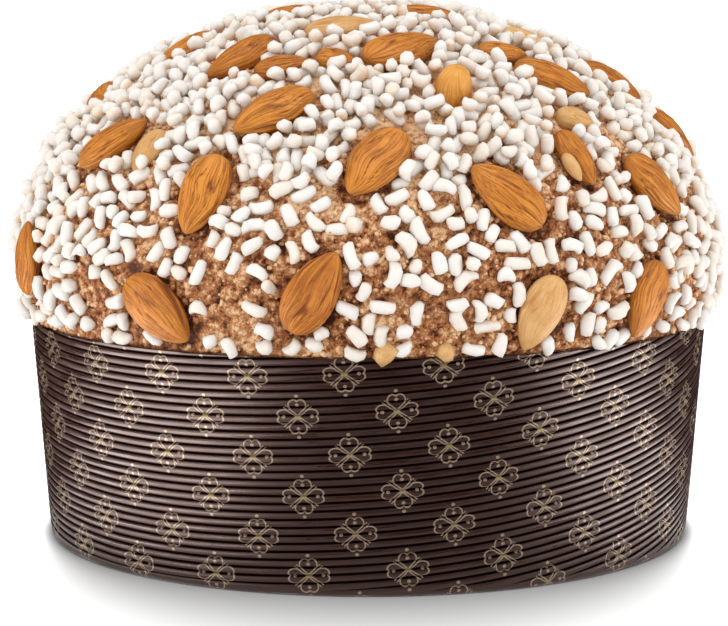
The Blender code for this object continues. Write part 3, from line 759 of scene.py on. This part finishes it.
def glaze_colours():
    """A node group for the crust and its loose crumbs: colour from pale to pit, and a fine relief.

    The brown mark, browning with painted shade and painted light, gives the colour, with noises added
    to it, and patches take an amber tint.
    """
    group = bpy.data.node_groups.new("glaze_colours", "ShaderNodeTree")
    group.interface.new_socket("Brown_and_shade", in_out="INPUT", socket_type="NodeSocketFloat")
    group.interface.new_socket("Colour", in_out="OUTPUT", socket_type="NodeSocketColor")
    group.interface.new_socket("Relief", in_out="OUTPUT", socket_type="NodeSocketFloat")
    entry = group.nodes.new("NodeGroupInput").outputs
    leave = group.nodes.new("NodeGroupOutput").inputs
    place = standing(group)
    patch = speckled(group, place, 75.0, 2.0, 0.5)
    grit = speckled(group, place, 620.0, 4.0, 0.65)
    fine = speckled(group, place, 1900.0, 2.0, 0.6)
    tint = ranged(group, speckled(group, place, 330.0, 2.0, 0.5), 0.54, 0.68, 0.0, 0.55)
    depth = entry["Brown_and_shade"]
    for noise, weight in ((grit, 2.1), (fine, 0.8), (patch, 0.9)):
        noise = worked(group, "SUBTRACT", noise, 0.5)
        depth = worked(group, "ADD", depth, worked(group, "MULTIPLY", noise, weight))
    tones = placed(group, "ShaderNodeValToRGB", {0: depth})
    ramp = tones.color_ramp
    ramp.elements[0].position = 0.12
    ramp.elements[0].color = CRUST_PALE
    ramp.elements[1].position = 0.97
    ramp.elements[1].color = CRUST_PIT
    ramp.elements.new(0.38).color = CRUST_TAN
    ramp.elements.new(0.68).color = CRUST_BROWN
    amber = blended(group, tint, (1.0, 1.0, 1.0, 1.0), CRUST_AMBER)
    amber = blended(group, 1.0, tones.outputs[0], amber, "MULTIPLY")
    group.links.new(blended(group, 0.55, tones.outputs[0], amber), leave["Colour"])
    relief = worked(group, "ADD", grit, worked(group, "MULTIPLY", fine, 0.35))
    group.links.new(relief, leave["Relief"])
    return group


def glaze_finish(name, group, bump_depth):
    """Dull baked glaze: the group's colours by the mark of browning and painted shade, its grit as a bump.
    """
    finish, tree, shader = new_finish(name, 0.72, 0.35)
    glaze = tree.nodes.new("ShaderNodeGroup")
    glaze.node_tree = group
    tree.links.new(marked(tree, "brown"), glaze.inputs["Brown_and_shade"])
    tree.links.new(glaze.outputs["Colour"], shader.inputs["Base Color"])
    bumped(tree, shader, glaze.outputs["Relief"], 0.8, bump_depth)
    return finish


glaze_group = glaze_colours()
rings, brown = crust_rings()
points, faces, first = joined_rings(rings)
crust = smooth_piece("glazed_crust", points, faces, glaze_finish("baked_glaze", glaze_group, 0.0009),
                     brown=brown.ravel()[first])
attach(crust, "root")
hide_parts("bread")


# The crumbs: bits of the glaze that burst and dried loose on it, less than 2 mm across.

CRUMB_COUNT = 9500
CRUMB_SIZE = (0.00035, 0.00105)
CRUMB_SEED = 31


def crumb_corners():
    """The twelve corners and twenty faces of an icosahedron of radius 1: three crossed golden cards."""
    golden = (1 + math.sqrt(5)) / 2
    card = np.array([(a, b * golden, 0.0) for a in (-1, 1) for b in (-1, 1)])
    corners = np.concatenate([card, np.roll(card, 1, axis=1), np.roll(card, 2, axis=1)])
    apart = np.linalg.norm(corners[:, None] - corners[None], axis=-1)
    near = (apart > 0.1) & (apart < 2.1)
    faces = [(i, j, k) for i in range(12) for j in range(i + 1, 12) for k in range(j + 1, 12)
             if near[i, j] and near[j, k] and near[i, k]]
    faces = np.array(faces)
    a, b, c = corners[faces[:, 0]], corners[faces[:, 1]], corners[faces[:, 2]]
    inward = np.einsum("ij,ij->i", np.cross(b - a, c - a), a) < 0
    faces[inward] = faces[inward][:, ::-1]
    return corners / np.linalg.norm(corners[0]), faces


def drawn_places(draw, count, low=0.0, high=CRUST_LENGTH):
    """Azimuths and ways drawn evenly over the crust's area between two ways."""
    start, end = np.interp([low, high], FINE_WAY, CRUST_AREA)
    return draw.uniform(0.0, 360.0, count), np.interp(draw.uniform(start, end, count), CRUST_AREA, FINE_WAY)


def lumps_at(points, out, sizes, draw, uneven, sink):
    """Uneven lumps on the crust, a multiple of twelve corners, each turned and squeezed its own way."""
    corners, faces = crumb_corners()
    count = len(points)
    first = draw.normal(size=(count, 3))
    second = np.cross(first, draw.normal(size=(count, 3)))
    first /= np.linalg.norm(first, axis=1)[:, None]
    second /= np.linalg.norm(second, axis=1)[:, None]
    axes = np.stack([first, second, np.cross(first, second)], 1) * draw.uniform(0.75, 1.3, (count, 3, 1))
    shape = corners[None] * draw.uniform(1 - uneven, 1 + uneven, (count, 12, 1))
    middles = points + (sink * sizes)[:, None] * out
    places = middles[:, None, :] + sizes[:, None, None] * (shape @ axes)
    numbers = faces[None] + 12 * np.arange(count)[:, None, None]
    return places.reshape(-1, 3), numbers.reshape(-1, 3)


draw = np.random.default_rng(CRUMB_SEED)
azimuth, way = drawn_places(draw, CRUMB_COUNT, 0.004, CRUST_LENGTH - 0.0004)
point, down, around, out = on_crust(azimuth, way)
rise, brown = crust_relief(point)
sizes = CRUMB_SIZE[0] + (CRUMB_SIZE[1] - CRUMB_SIZE[0]) * draw.random(CRUMB_COUNT) ** 1.6
points, faces = lumps_at(point + rise[:, None] * out, out, sizes, draw, 0.28, 0.25)
# The crumbs take the crust's brown with its painted shade where they lie, and a tone of their own.
tone = np.clip(brown * 0.7 + draw.uniform(-0.25, 0.15, CRUMB_COUNT), 0.0, 1.0)
crumbs = smooth_piece("glaze_crumbs", points, faces, glaze_finish("dry_crumbs", glaze_group, 0.0003),
                      brown=np.repeat(tone, 12))
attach(crumbs, "root")
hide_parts("bread")


# The nibs: two chunks of blanched almond caught in the glaze above the rim, in front.

# Azimuth, way down the crust, half size
NIBS = ((2.3, 0.1605, 0.0036), (11.5, 0.1600, 0.0030))

azimuth, way, sizes = np.array(NIBS).T
point, down, around, out = on_crust(azimuth, way)
points, faces = lumps_at(point, out, sizes, np.random.default_rng(CRUMB_SEED + 1), 0.16, 0.15)
nibs = smooth_piece("almond_nibs", points, faces, blanched_finish, wrinkle=np.zeros(len(points)),
                    shade=np.zeros(len(points)), lay=300.0 * points)
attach(nibs, "root")
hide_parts("bread")


# The pearl sugar: hard white grains of pressed sugar, short rods with blunt ends and rounder lumps,
# strewn on the wet glaze. They lie two deep on the top, and thin out down the sides.

SUGAR_SEED = 41
SUGAR_COUNT = 2500
SUGAR_FUSED = 240
SUGAR_LENGTH = (0.0034, 0.0086)
SUGAR_WIDTH = (0.0031, 0.0038)
SUGAR_TRIES = 14
SUGAR_EDGE = 0.0036
LOW_BELT = (0.105, 0.140)
LOW_BELT_SHARE = 0.5
SUGAR_STRETCH = 0.78
SUGAR_LONGER = 0.0015
SUGAR_WIDER = 1.17
SUGAR_RISE = 0.27
SUGAR_DROPS = 12
SUGAR_ON_TOP = 1100
SUGAR_WHITE = (0.73, 0.70, 0.665, 1.0)
SUGAR_CREAM = (0.71, 0.61, 0.50, 1.0)
# A warm painted shade on the grains' lower sides, and how far above a grain's middle it starts, in half
# widths
SUGAR_UNDERSIDE_SHADE = (0.72, 0.50, 0.32, 1.0)
STAIN_FROM = 0.12
GRAIN_SIDES = 8
GRAIN_POINTS = 4 * GRAIN_SIDES + 2
# A grain this many times as long as wide is a rod, and the others are lumps
ROD_FROM = 1.55
# How the sugar is heaped. So many of the longest grains fall first, and the extra ones last, only where
# the cover is full. Grains may be lifted this far on the full cover and elsewhere, in metres
LONGEST_FIRST = 700
FULL_COVER = 0.93
LIFTED_MOST = 0.0031
LIFTED_LOW = 0.0010
# Careless grains take the best of fewer places
CARELESS_SHARE = 0.35
CARELESS_PLACES = 2
# The middles of a grain's balls keep this share of its width away from almonds, and the middles of two
# grains' balls that touch are this share of both widths apart
ALMOND_ROOM = 0.36
TOUCH = 0.44
# What a slant costs against height, and the steepest, as a share of the grain's length
SLANT_COST = 0.4
STEEPEST = 0.8

# Bare patches in the sugar: azimuth, way down the crust, radius
BARE_PATCHES = (
    (-21, 0.149, 0.015), (7, 0.147, 0.010), (10, 0.157, 0.011), (-47, 0.147, 0.009),
    (31, 0.117, 0.008), (50, 0.098, 0.007), (0, 0.127, 0.008), (-26, 0.133, 0.006),
    (62, 0.152, 0.009), (100, 0.148, 0.012), (145, 0.121, 0.009), (170, 0.150, 0.013),
    (221, 0.147, 0.012), (250, 0.112, 0.008), (274, 0.151, 0.010),
)


def sugar_share(azimuth, way):
    """How much sugar lies at a place: full on the top, thinner in the low belt, none on bare patches."""
    low = np.clip((way - LOW_BELT[0]) / (LOW_BELT[1] - LOW_BELT[0]), 0.0, 1.0)
    share = 1.0 - (1.0 - LOW_BELT_SHARE) * low * low * (3 - 2 * low)
    point = on_crust(azimuth, way)[0]
    for patch_azimuth, patch_way, patch_radius in BARE_PATCHES:
        far = np.linalg.norm(point - on_crust(patch_azimuth, patch_way)[0], axis=-1)
        share = share * np.clip(2.0 * far / patch_radius - 1.0, 0.04, 1.0)
    return share


def pressed_grains():
    """The largest grains, those of the solid crust, and the sizes of all the others.

    Each lies where it has the most room of a few places drawn for it. A grain and an almond both
    count as a row of balls. The rows give azimuth, way, heading, length and width.
    """
    draw = np.random.default_rng(SUGAR_SEED)
    size = np.sort(draw.beta(1.3, 1.6, SUGAR_COUNT))[::-1]
    lengths = SUGAR_LENGTH[0] + (SUGAR_LENGTH[1] - SUGAR_LENGTH[0]) * size
    widths = draw.uniform(*SUGAR_WIDTH, SUGAR_COUNT)
    grains = np.zeros((SUGAR_FUSED, 5))
    centres = np.zeros((SUGAR_FUSED, 3, 3))
    found = tried = 0
    for length, width in zip(lengths, widths):
        tried += 1
        chance = draw.random((SUGAR_TRIES, 4))
        way = np.interp(chance[:, 0] * CRUST_AREA[-1], CRUST_AREA, FINE_WAY)
        azimuth = 360.0 * chance[:, 1]
        heading = 180.0 * chance[:, 2]
        point, down, around, out = on_crust(azimuth, way)
        turn = np.radians(heading)[:, None]
        along = np.cos(turn) * down + np.sin(turn) * around
        reach = (length - width) / 2
        row = point[:, None, :] + reach * np.array([-1.0, 0.0, 1.0])[None, :, None] * along[:, None, :]
        room = np.linalg.norm(row[:, :, None, :] - ALMOND_BALLS, axis=-1) - ALMOND_RADII - width / 2
        room = room.min(axis=(1, 2)) - 2 * GAP
        if found:
            near = np.linalg.norm(row[:, :, None, None, :] - centres[:found], axis=-1)
            spread = near.min(axis=(1, 2, 3)) - (width + grains[:found, 4].mean()) / 2
            room = np.where(room > 0, spread, -1.0)
        room = np.where(chance[:, 3] < sugar_share(azimuth, way), room, -1.0)
        room = np.where((way > 0.001) & (way < CRUST_LENGTH - SUGAR_EDGE - reach), room, -1.0)
        best = int(np.argmax(room))
        if room[best] <= 0:
            continue
        grains[found] = azimuth[best], way[best], heading[best], length, width
        centres[found] = row[best]
        found += 1
        if found == SUGAR_FUSED:
            break
    return grains, lengths[tried:], widths[tried:]


def grain_rows(azimuth, way, heading, length, width):
    """For grains lying on the crust: the three ball middles of each, and its direction out of it."""
    point, down, around, out = on_crust(azimuth, way)
    rise = crust_relief(point)[0]
    turn = np.radians(heading)[:, None]
    along = np.cos(turn) * down + np.sin(turn) * around
    middle = point + (rise + SUGAR_RISE * width)[:, None] * out
    reach = np.clip(length - width, 0.0004, None) / 2
    ends = reach[:, None, None] * np.array([-1.0, 0.0, 1.0])[None, :, None] * along[:, None, :]
    return middle[:, None, :] + ends, out


def heaped_grains(pressed, lengths, widths):
    """The other grains, dropped one by one where they lie lowest of a few places drawn for them.

    A grain rests on those below it: each ball of its row is lifted until it only just sinks into its
    neighbours, and the two ends are lifted apart, so grains tilt. Extra grains fall on the full cover
    at the end. None lies on an almond or on the split almond's slab, and one that would have to be
    lifted too far is left out. Returns ball rows (three a grain), out directions, lengths and widths.
    """
    draw = np.random.default_rng(SUGAR_SEED + 1)
    azimuth, way, heading, length, width = pressed.T
    length, width = SUGAR_STRETCH * length + SUGAR_LONGER, SUGAR_WIDER * width
    row, out = grain_rows(azimuth, way, heading, length, width)
    most = SUGAR_COUNT + SUGAR_ON_TOP
    rows, outs = np.zeros((most, 3, 3)), np.zeros((most, 3))
    long, wide = np.zeros(most), np.zeros(most)
    found = len(pressed)
    rows[:found], outs[:found], long[:found], wide[:found] = row, out, length, width
    order = np.arange(len(lengths))
    order[LONGEST_FIRST:] = draw.permutation(order[LONGEST_FIRST:])
    order = np.append(order, draw.integers(LONGEST_FIRST, len(lengths), SUGAR_ON_TOP))
    lengths, widths = SUGAR_STRETCH * lengths[order] + SUGAR_LONGER, SUGAR_WIDER * widths[order]
    drops = SUGAR_DROPS * len(order)
    azimuth, way = drawn_places(draw, drops, 0.001, CRUST_LENGTH - 0.0016)
    share = sugar_share(azimuth, way)
    fits = draw.random(drops) < share
    fits[-SUGAR_DROPS * SUGAR_ON_TOP:] &= share[-SUGAR_DROPS * SUGAR_ON_TOP:] > FULL_COVER
    heading = draw.uniform(0.0, 180.0, drops)
    each_width = np.repeat(widths, SUGAR_DROPS)
    row, out = grain_rows(azimuth, way, heading, np.repeat(lengths, SUGAR_DROPS), each_width)
    fits &= room_to_almonds(row).min(axis=1) > ALMOND_ROOM * each_width
    fits &= np.linalg.norm(row - SLAB_MIDDLE, axis=-1).min(axis=1) > SLAB_SIZE[0] / 2
    allowed = np.where(share > FULL_COVER, LIFTED_MOST, LIFTED_LOW)
    careless = draw.random(len(order)) < CARELESS_SHARE
    for item, (length, width) in enumerate(zip(lengths, widths)):
        mine = item * SUGAR_DROPS + np.flatnonzero(fits[item * SUGAR_DROPS:(item + 1) * SUGAR_DROPS])
        if len(mine) == 0:
            continue
        if careless[item]:
            mine = mine[:CARELESS_PLACES]
        off = row[mine][:, :, None, None, :] - rows[None, None, :found]
        touch = TOUCH * (width + wide[:found])[None, None, :, None]
        above = np.einsum("abcde,ae->abcd", off, out[mine])
        beside = np.einsum("abcde,abcde->abcd", off, off) - above ** 2
        lift = np.sqrt(np.clip(touch ** 2 - beside, 0.0, None)) - above
        lift = np.clip(np.where(beside < touch ** 2, lift, 0.0).max(axis=(2, 3)), 0.0, None)
        needed = lift[:, 1] - (lift[:, 0] + lift[:, 2]) / 2
        ends = lift[:, [0, 2]] + np.clip(needed, 0.0, None)[:, None]
        height = ends.mean(axis=1)
        slant = np.abs(ends[:, 0] - ends[:, 1])
        barred = (height > allowed[mine]) | (slant > STEEPEST * length)
        cost = height + SLANT_COST * slant + np.where(barred, 1.0, 0.0)
        best = int(np.argmin(cost))
        if cost[best] >= 1.0:
            continue
        raised = np.array([ends[best, 0], height[best], ends[best, 1]])
        rows[found] = row[mine[best]] + raised[:, None] * out[mine[best]]
        outs[found], long[found], wide[found] = out[mine[best]], length, width
        found += 1
    return rows[:found], outs[:found], long[:found], wide[:found]


def grain_shapes(rows, outs, long, wide, draw):
    """Sugar grains as four rings of eight points and two end points each.

    The rings shrink towards blunt ends, less on a rod than on a lump. Each grain has its own bend,
    taper, waist, slanted ends and uneven skin. Each point also gets its share of a warm painted shade,
    which grows from a set number of half widths above the grain's middle down to its foot.
    """
    count = len(rows)
    along = rows[:, 2] - rows[:, 0]
    along /= np.linalg.norm(along, axis=1)[:, None]
    side = np.cross(outs, along)
    side /= np.linalg.norm(side, axis=1)[:, None]
    up = np.cross(along, side)
    station = np.array([-1.0, -0.83, -0.34, 0.34, 0.83, 1.0])
    slender = np.clip((long / wide - 1.0) / 0.9, 0.0, 1.0)[:, None]
    blunt = 0.70 + 0.12 * slender + draw.uniform(-0.10, 0.12, (count, 1))
    belly = 0.97 + draw.uniform(-0.08, 0.05, (count, 2))
    girth = np.concatenate([np.zeros((count, 1)), blunt, belly, blunt * draw.uniform(0.85, 1.1, (count, 1)),
                            np.zeros((count, 1))], axis=1)
    girth *= 1 + draw.uniform(-0.14, 0.14, (count, 1)) * station
    angle = np.arange(GRAIN_SIDES) * math.tau / GRAIN_SIDES + draw.uniform(0.0, 1.0, (count, 1))
    bend = draw.normal(0.0, 0.15, (count, 2))
    bow = 1 - station ** 2
    ring = girth[:, :, None] * wide[:, None, None] / 2 * draw.uniform(0.85, 1.11, (count, 6, GRAIN_SIDES))
    sideways = ring * np.cos(angle)[:, None, :] + (bend[:, :1] * bow * wide[:, None])[:, :, None]
    upwards = ring * np.sin(angle)[:, None, :] + (bend[:, 1:] * bow * wide[:, None])[:, :, None]
    slant = draw.uniform(-0.35, 0.35, (count, 2, 2))
    ends = np.stack([slant[:, 0, 0:1] * (station < 0) + slant[:, 1, 0:1] * (station > 0),
                     slant[:, 0, 1:2] * (station < 0) + slant[:, 1, 1:2] * (station > 0)], -1)
    ends *= (station ** 2)[None, :, None]
    lengthways = (station * long[:, None] / 2)[:, :, None]
    lengthways = lengthways + ends[:, :, :1] * sideways + ends[:, :, 1:] * upwards
    middle = rows.mean(axis=1)
    places = (middle[:, None, None, :] + lengthways[..., None] * along[:, None, None, :]
              + sideways[..., None] * side[:, None, None, :] + upwards[..., None] * up[:, None, None, :])
    body = places[:, 1:5].reshape(count, -1, 3)
    tips = np.stack([places[:, 0].mean(axis=1), places[:, 5].mean(axis=1)], 1)
    around = np.arange(GRAIN_SIDES)
    ahead = np.roll(around, -1)
    start, last = np.full(GRAIN_SIDES, GRAIN_POINTS - 2), np.full(GRAIN_SIDES, GRAIN_POINTS - 1)
    strips = []
    for ring_start in GRAIN_SIDES * np.arange(3):
        next_start = ring_start + GRAIN_SIDES
        strips.append(np.stack([ring_start + around, ring_start + ahead, next_start + ahead], -1))
        strips.append(np.stack([ring_start + around, next_start + ahead, next_start + around], -1))
    strips.append(np.stack([start, ahead, around], -1))
    strips.append(np.stack([last, 3 * GRAIN_SIDES + around, 3 * GRAIN_SIDES + ahead], -1))
    one = np.concatenate(strips)
    faces = (one[None] + GRAIN_POINTS * np.arange(count)[:, None, None]).reshape(-1, 3)
    stain = np.clip(STAIN_FROM - 2 * upwards / wide[:, None, None], 0.0, 1.0)
    stain = np.concatenate([stain[:, 1:5].reshape(count, -1), stain[:, [0, 5], 0]], axis=1)
    return np.concatenate([body, tips], axis=1).reshape(-1, 3), faces, stain.ravel()


def sugar_finish():
    """Matt pressed sugar: white with a few creamy grains, and a warm painted shade low on each grain."""
    finish, tree, shader = new_finish("pearl_sugar", 0.62, 0.35)
    place = standing(tree)
    crystal = speckled(tree, place, 1300.0, 3.0, 0.6)
    dust = speckled(tree, place, 260.0, 2.0, 0.5)
    share = worked(tree, "ADD", marked(tree, "cream"), ranged(tree, dust, 0.45, 0.8, 0.0, 0.35))
    tone = blended(tree, share, SUGAR_WHITE, SUGAR_CREAM)
    # Painted shade: a warm tint low on each grain, below its middle.
    tree.links.new(blended(tree, marked(tree, "stain"), tone, SUGAR_UNDERSIDE_SHADE), shader.inputs["Base Color"])
    bumped(tree, shader, crystal, 0.35, 0.0003)
    return finish


pressed, lengths, widths = pressed_grains()
rows, outs, long, wide = heaped_grains(pressed, lengths, widths)
draw = np.random.default_rng(SUGAR_SEED + 2)
sugar_white = sugar_finish()
for name, chosen in (("sugar_rods", long > ROD_FROM * wide), ("sugar_lumps", long <= ROD_FROM * wide)):
    points, faces, stain = grain_shapes(rows[chosen], outs[chosen], long[chosen], wide[chosen], draw)
    cream = np.repeat(np.clip(draw.normal(0.1, 0.25, chosen.sum()), 0.0, 1.0), GRAIN_POINTS)
    grains = smooth_piece(name, points, faces, sugar_white, cream=cream, stain=stain)
    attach(grains, "root")
    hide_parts("bread")


# The stage: a white table, soft light from a large box on each side and one overhead, and the camera.
# The table glows a little away from the case, a painted light that leaves a painted shadow round its
# foot. Only in the paper's mirror does it glow strongly on the boxes' sides, and weakly all round where
# it is close to the case's foot: a painted reflection.

FLOOR_HALF = 40.0
# The table's colour, its darker colour in the paper's mirror (a painted reflection), and its glow
FLOOR_WHITE = (0.44, 0.44, 0.44, 1.0)
FLOOR_MIRRORED = (0.03, 0.03, 0.03, 1.0)
FLOOR_GLOW = 0.95
# The painted shadow round the case's foot reaches this far at its sides, and this much more before it
SHADOW_REACH = 0.004
SHADOW_LONGER = 0.122
SHADOW_NARROWING = 3.5
# Stretches of the table that glow only in the paper's mirror, a painted reflection: azimuth of the middle,
# half its width, radiance
MIRRORED_STRETCHES = ((-58.0, 29.0, 7.2), (72.0, 22.0, 6.4))
# They fade in from the case's foot, and are full from this far from its middle on
MIRRORED_FROM = 0.16
# Radiance of the painted reflection of the table all round at the case's foot, and how far out it has faded
# away
FOOT_MIRRORED = 0.55
FOOT_MIRRORED_TO = 0.19
# Softboxes: name, azimuth, height of its middle, distance, width, height, radiance
SOFTBOXES = (
    ("softbox_left", -55.0, 0.36, 1.25, 1.20, 0.72, 1.05),
    ("softbox_right", 72.0, 0.36, 1.25, 0.85, 0.72, 1.35),
)
TOP_LIGHT = (0.0, -0.45, 1.45)
TOP_SIZE = 1.1
TOP_RADIANCE = 2.35
WORLD_FRONT = 0.92
WORLD_BACK = 1.02
WORLD_MIRRORED = 0.07

floor_points = np.array([(x, y, 0.0) for x, y in ((-1, -1), (1, -1), (1, 1), (-1, 1))]) * FLOOR_HALF
floor_finish, tree, shader = new_finish("white_table", 0.8, 0.1)
place = standing(tree)
far = placed(tree, "ShaderNodeVectorMath", {0: place}, operation="LENGTH").outputs["Value"]
split = placed(tree, "ShaderNodeSeparateXYZ", {0: place})
turn = worked(tree, "ARCTAN2", split.outputs["X"], worked(tree, "MULTIPLY", split.outputs["Y"], -1.0))
painted_reflection = 0.0
for azimuth, half, radiance in MIRRORED_STRETCHES:
    aside = worked(tree, "ABSOLUTE", worked(tree, "SUBTRACT", turn, math.radians(azimuth)))
    lit = ranged(tree, aside, math.radians(0.6 * half), math.radians(1.2 * half), radiance, 0.0)
    painted_reflection = worked(tree, "ADD", painted_reflection, lit)
painted_reflection = worked(tree, "MULTIPLY", painted_reflection, ranged(tree, far, BASE_RADIUS, MIRRORED_FROM))
painted_reflection = worked(tree, "ADD", painted_reflection, ranged(tree, far, BASE_RADIUS, FOOT_MIRRORED_TO, FOOT_MIRRORED, 0.0))
# Painted reflection: mirrored rays see the table darker, glowing only in the stretches and near the foot.
mirrored = placed(tree, "ShaderNodeLightPath").outputs["Is Glossy Ray"]
tree.links.new(blended(tree, mirrored, FLOOR_WHITE, FLOOR_MIRRORED), shader.inputs["Base Color"])
shader.inputs["Emission Color"].default_value = (1.0, 1.0, 1.0, 1.0)
before = worked(tree, "ABSOLUTE", worked(tree, "DIVIDE", split.outputs["Y"], far))
before = worked(tree, "POWER", before, SHADOW_NARROWING)
reach = worked(tree, "ADD", worked(tree, "MULTIPLY", before, SHADOW_LONGER), SHADOW_REACH)
shadow = worked(tree, "DIVIDE", worked(tree, "SUBTRACT", far, BASE_RADIUS), reach)
# Painted shadow: the table's glow fades out towards the case's foot.
glow = worked(tree, "MULTIPLY", ranged(tree, shadow, -0.1, 1.0, 0.0, FLOOR_GLOW),
              worked(tree, "SUBTRACT", 1.0, mirrored))
glow = worked(tree, "ADD", glow, worked(tree, "MULTIPLY", painted_reflection, mirrored))
tree.links.new(glow, shader.inputs["Emission Strength"])
floor = smooth_piece("table", floor_points, np.array([(0, 1, 2, 3)]), floor_finish)


def area_light(name, place, aim, size, radiance):
    """Adds a rectangular light of a given brightness, turned towards a point."""
    lamp = bpy.data.lights.new(name, "AREA")
    lamp.shape = "RECTANGLE"
    lamp.size, lamp.size_y = size
    lamp.energy = radiance * math.pi * size[0] * size[1]
    light = bpy.data.objects.new(name, lamp)
    light.location = place
    light.rotation_euler = (Vector(aim) - Vector(place)).to_track_quat("-Z", "Y").to_euler()
    bpy.context.scene.collection.objects.link(light)


for name, azimuth, height, distance, width, tall, radiance in SOFTBOXES:
    turn = math.radians(azimuth)
    place = (distance * math.sin(turn), -distance * math.cos(turn), height)
    area_light(name, place, (0.0, 0.0, 0.08), (width, tall), radiance)
area_light("softbox_top", TOP_LIGHT, (0.0, 0.0, 0.1), (TOP_SIZE, TOP_SIZE), TOP_RADIANCE)

world = bpy.data.worlds.new("studio")
bpy.context.scene.world = world
world.use_nodes = True
tree = world.node_tree
direction = placed(tree, "ShaderNodeTexCoord").outputs["Generated"]
depth = placed(tree, "ShaderNodeSeparateXYZ", {0: direction}).outputs["Y"]
strength = ranged(tree, depth, -0.8, 0.3, WORLD_FRONT, WORLD_BACK)
mirrored = placed(tree, "ShaderNodeLightPath").outputs["Is Glossy Ray"]
strength = worked(tree, "MULTIPLY", strength, ranged(tree, mirrored, 0.0, 1.0, 1.0, WORLD_MIRRORED))
tree.links.new(strength, tree.nodes["Background"].inputs["Strength"])
tree.nodes["Background"].inputs["Color"].default_value = (1.0, 1.0, 1.0, 1.0)

lens = bpy.data.cameras.new("camera")
lens.lens = 126.9
lens.sensor_width = 36.0
camera = bpy.data.objects.new("camera", lens)
camera.location = (-0.00144, -0.800, 0.1711)
camera.rotation_euler = (math.radians(90.0 - 7.40), 0.0, 0.0)
bpy.context.scene.collection.objects.link(camera)
bpy.context.scene.camera = camera
bpy.context.scene.view_settings.view_transform = "Standard"
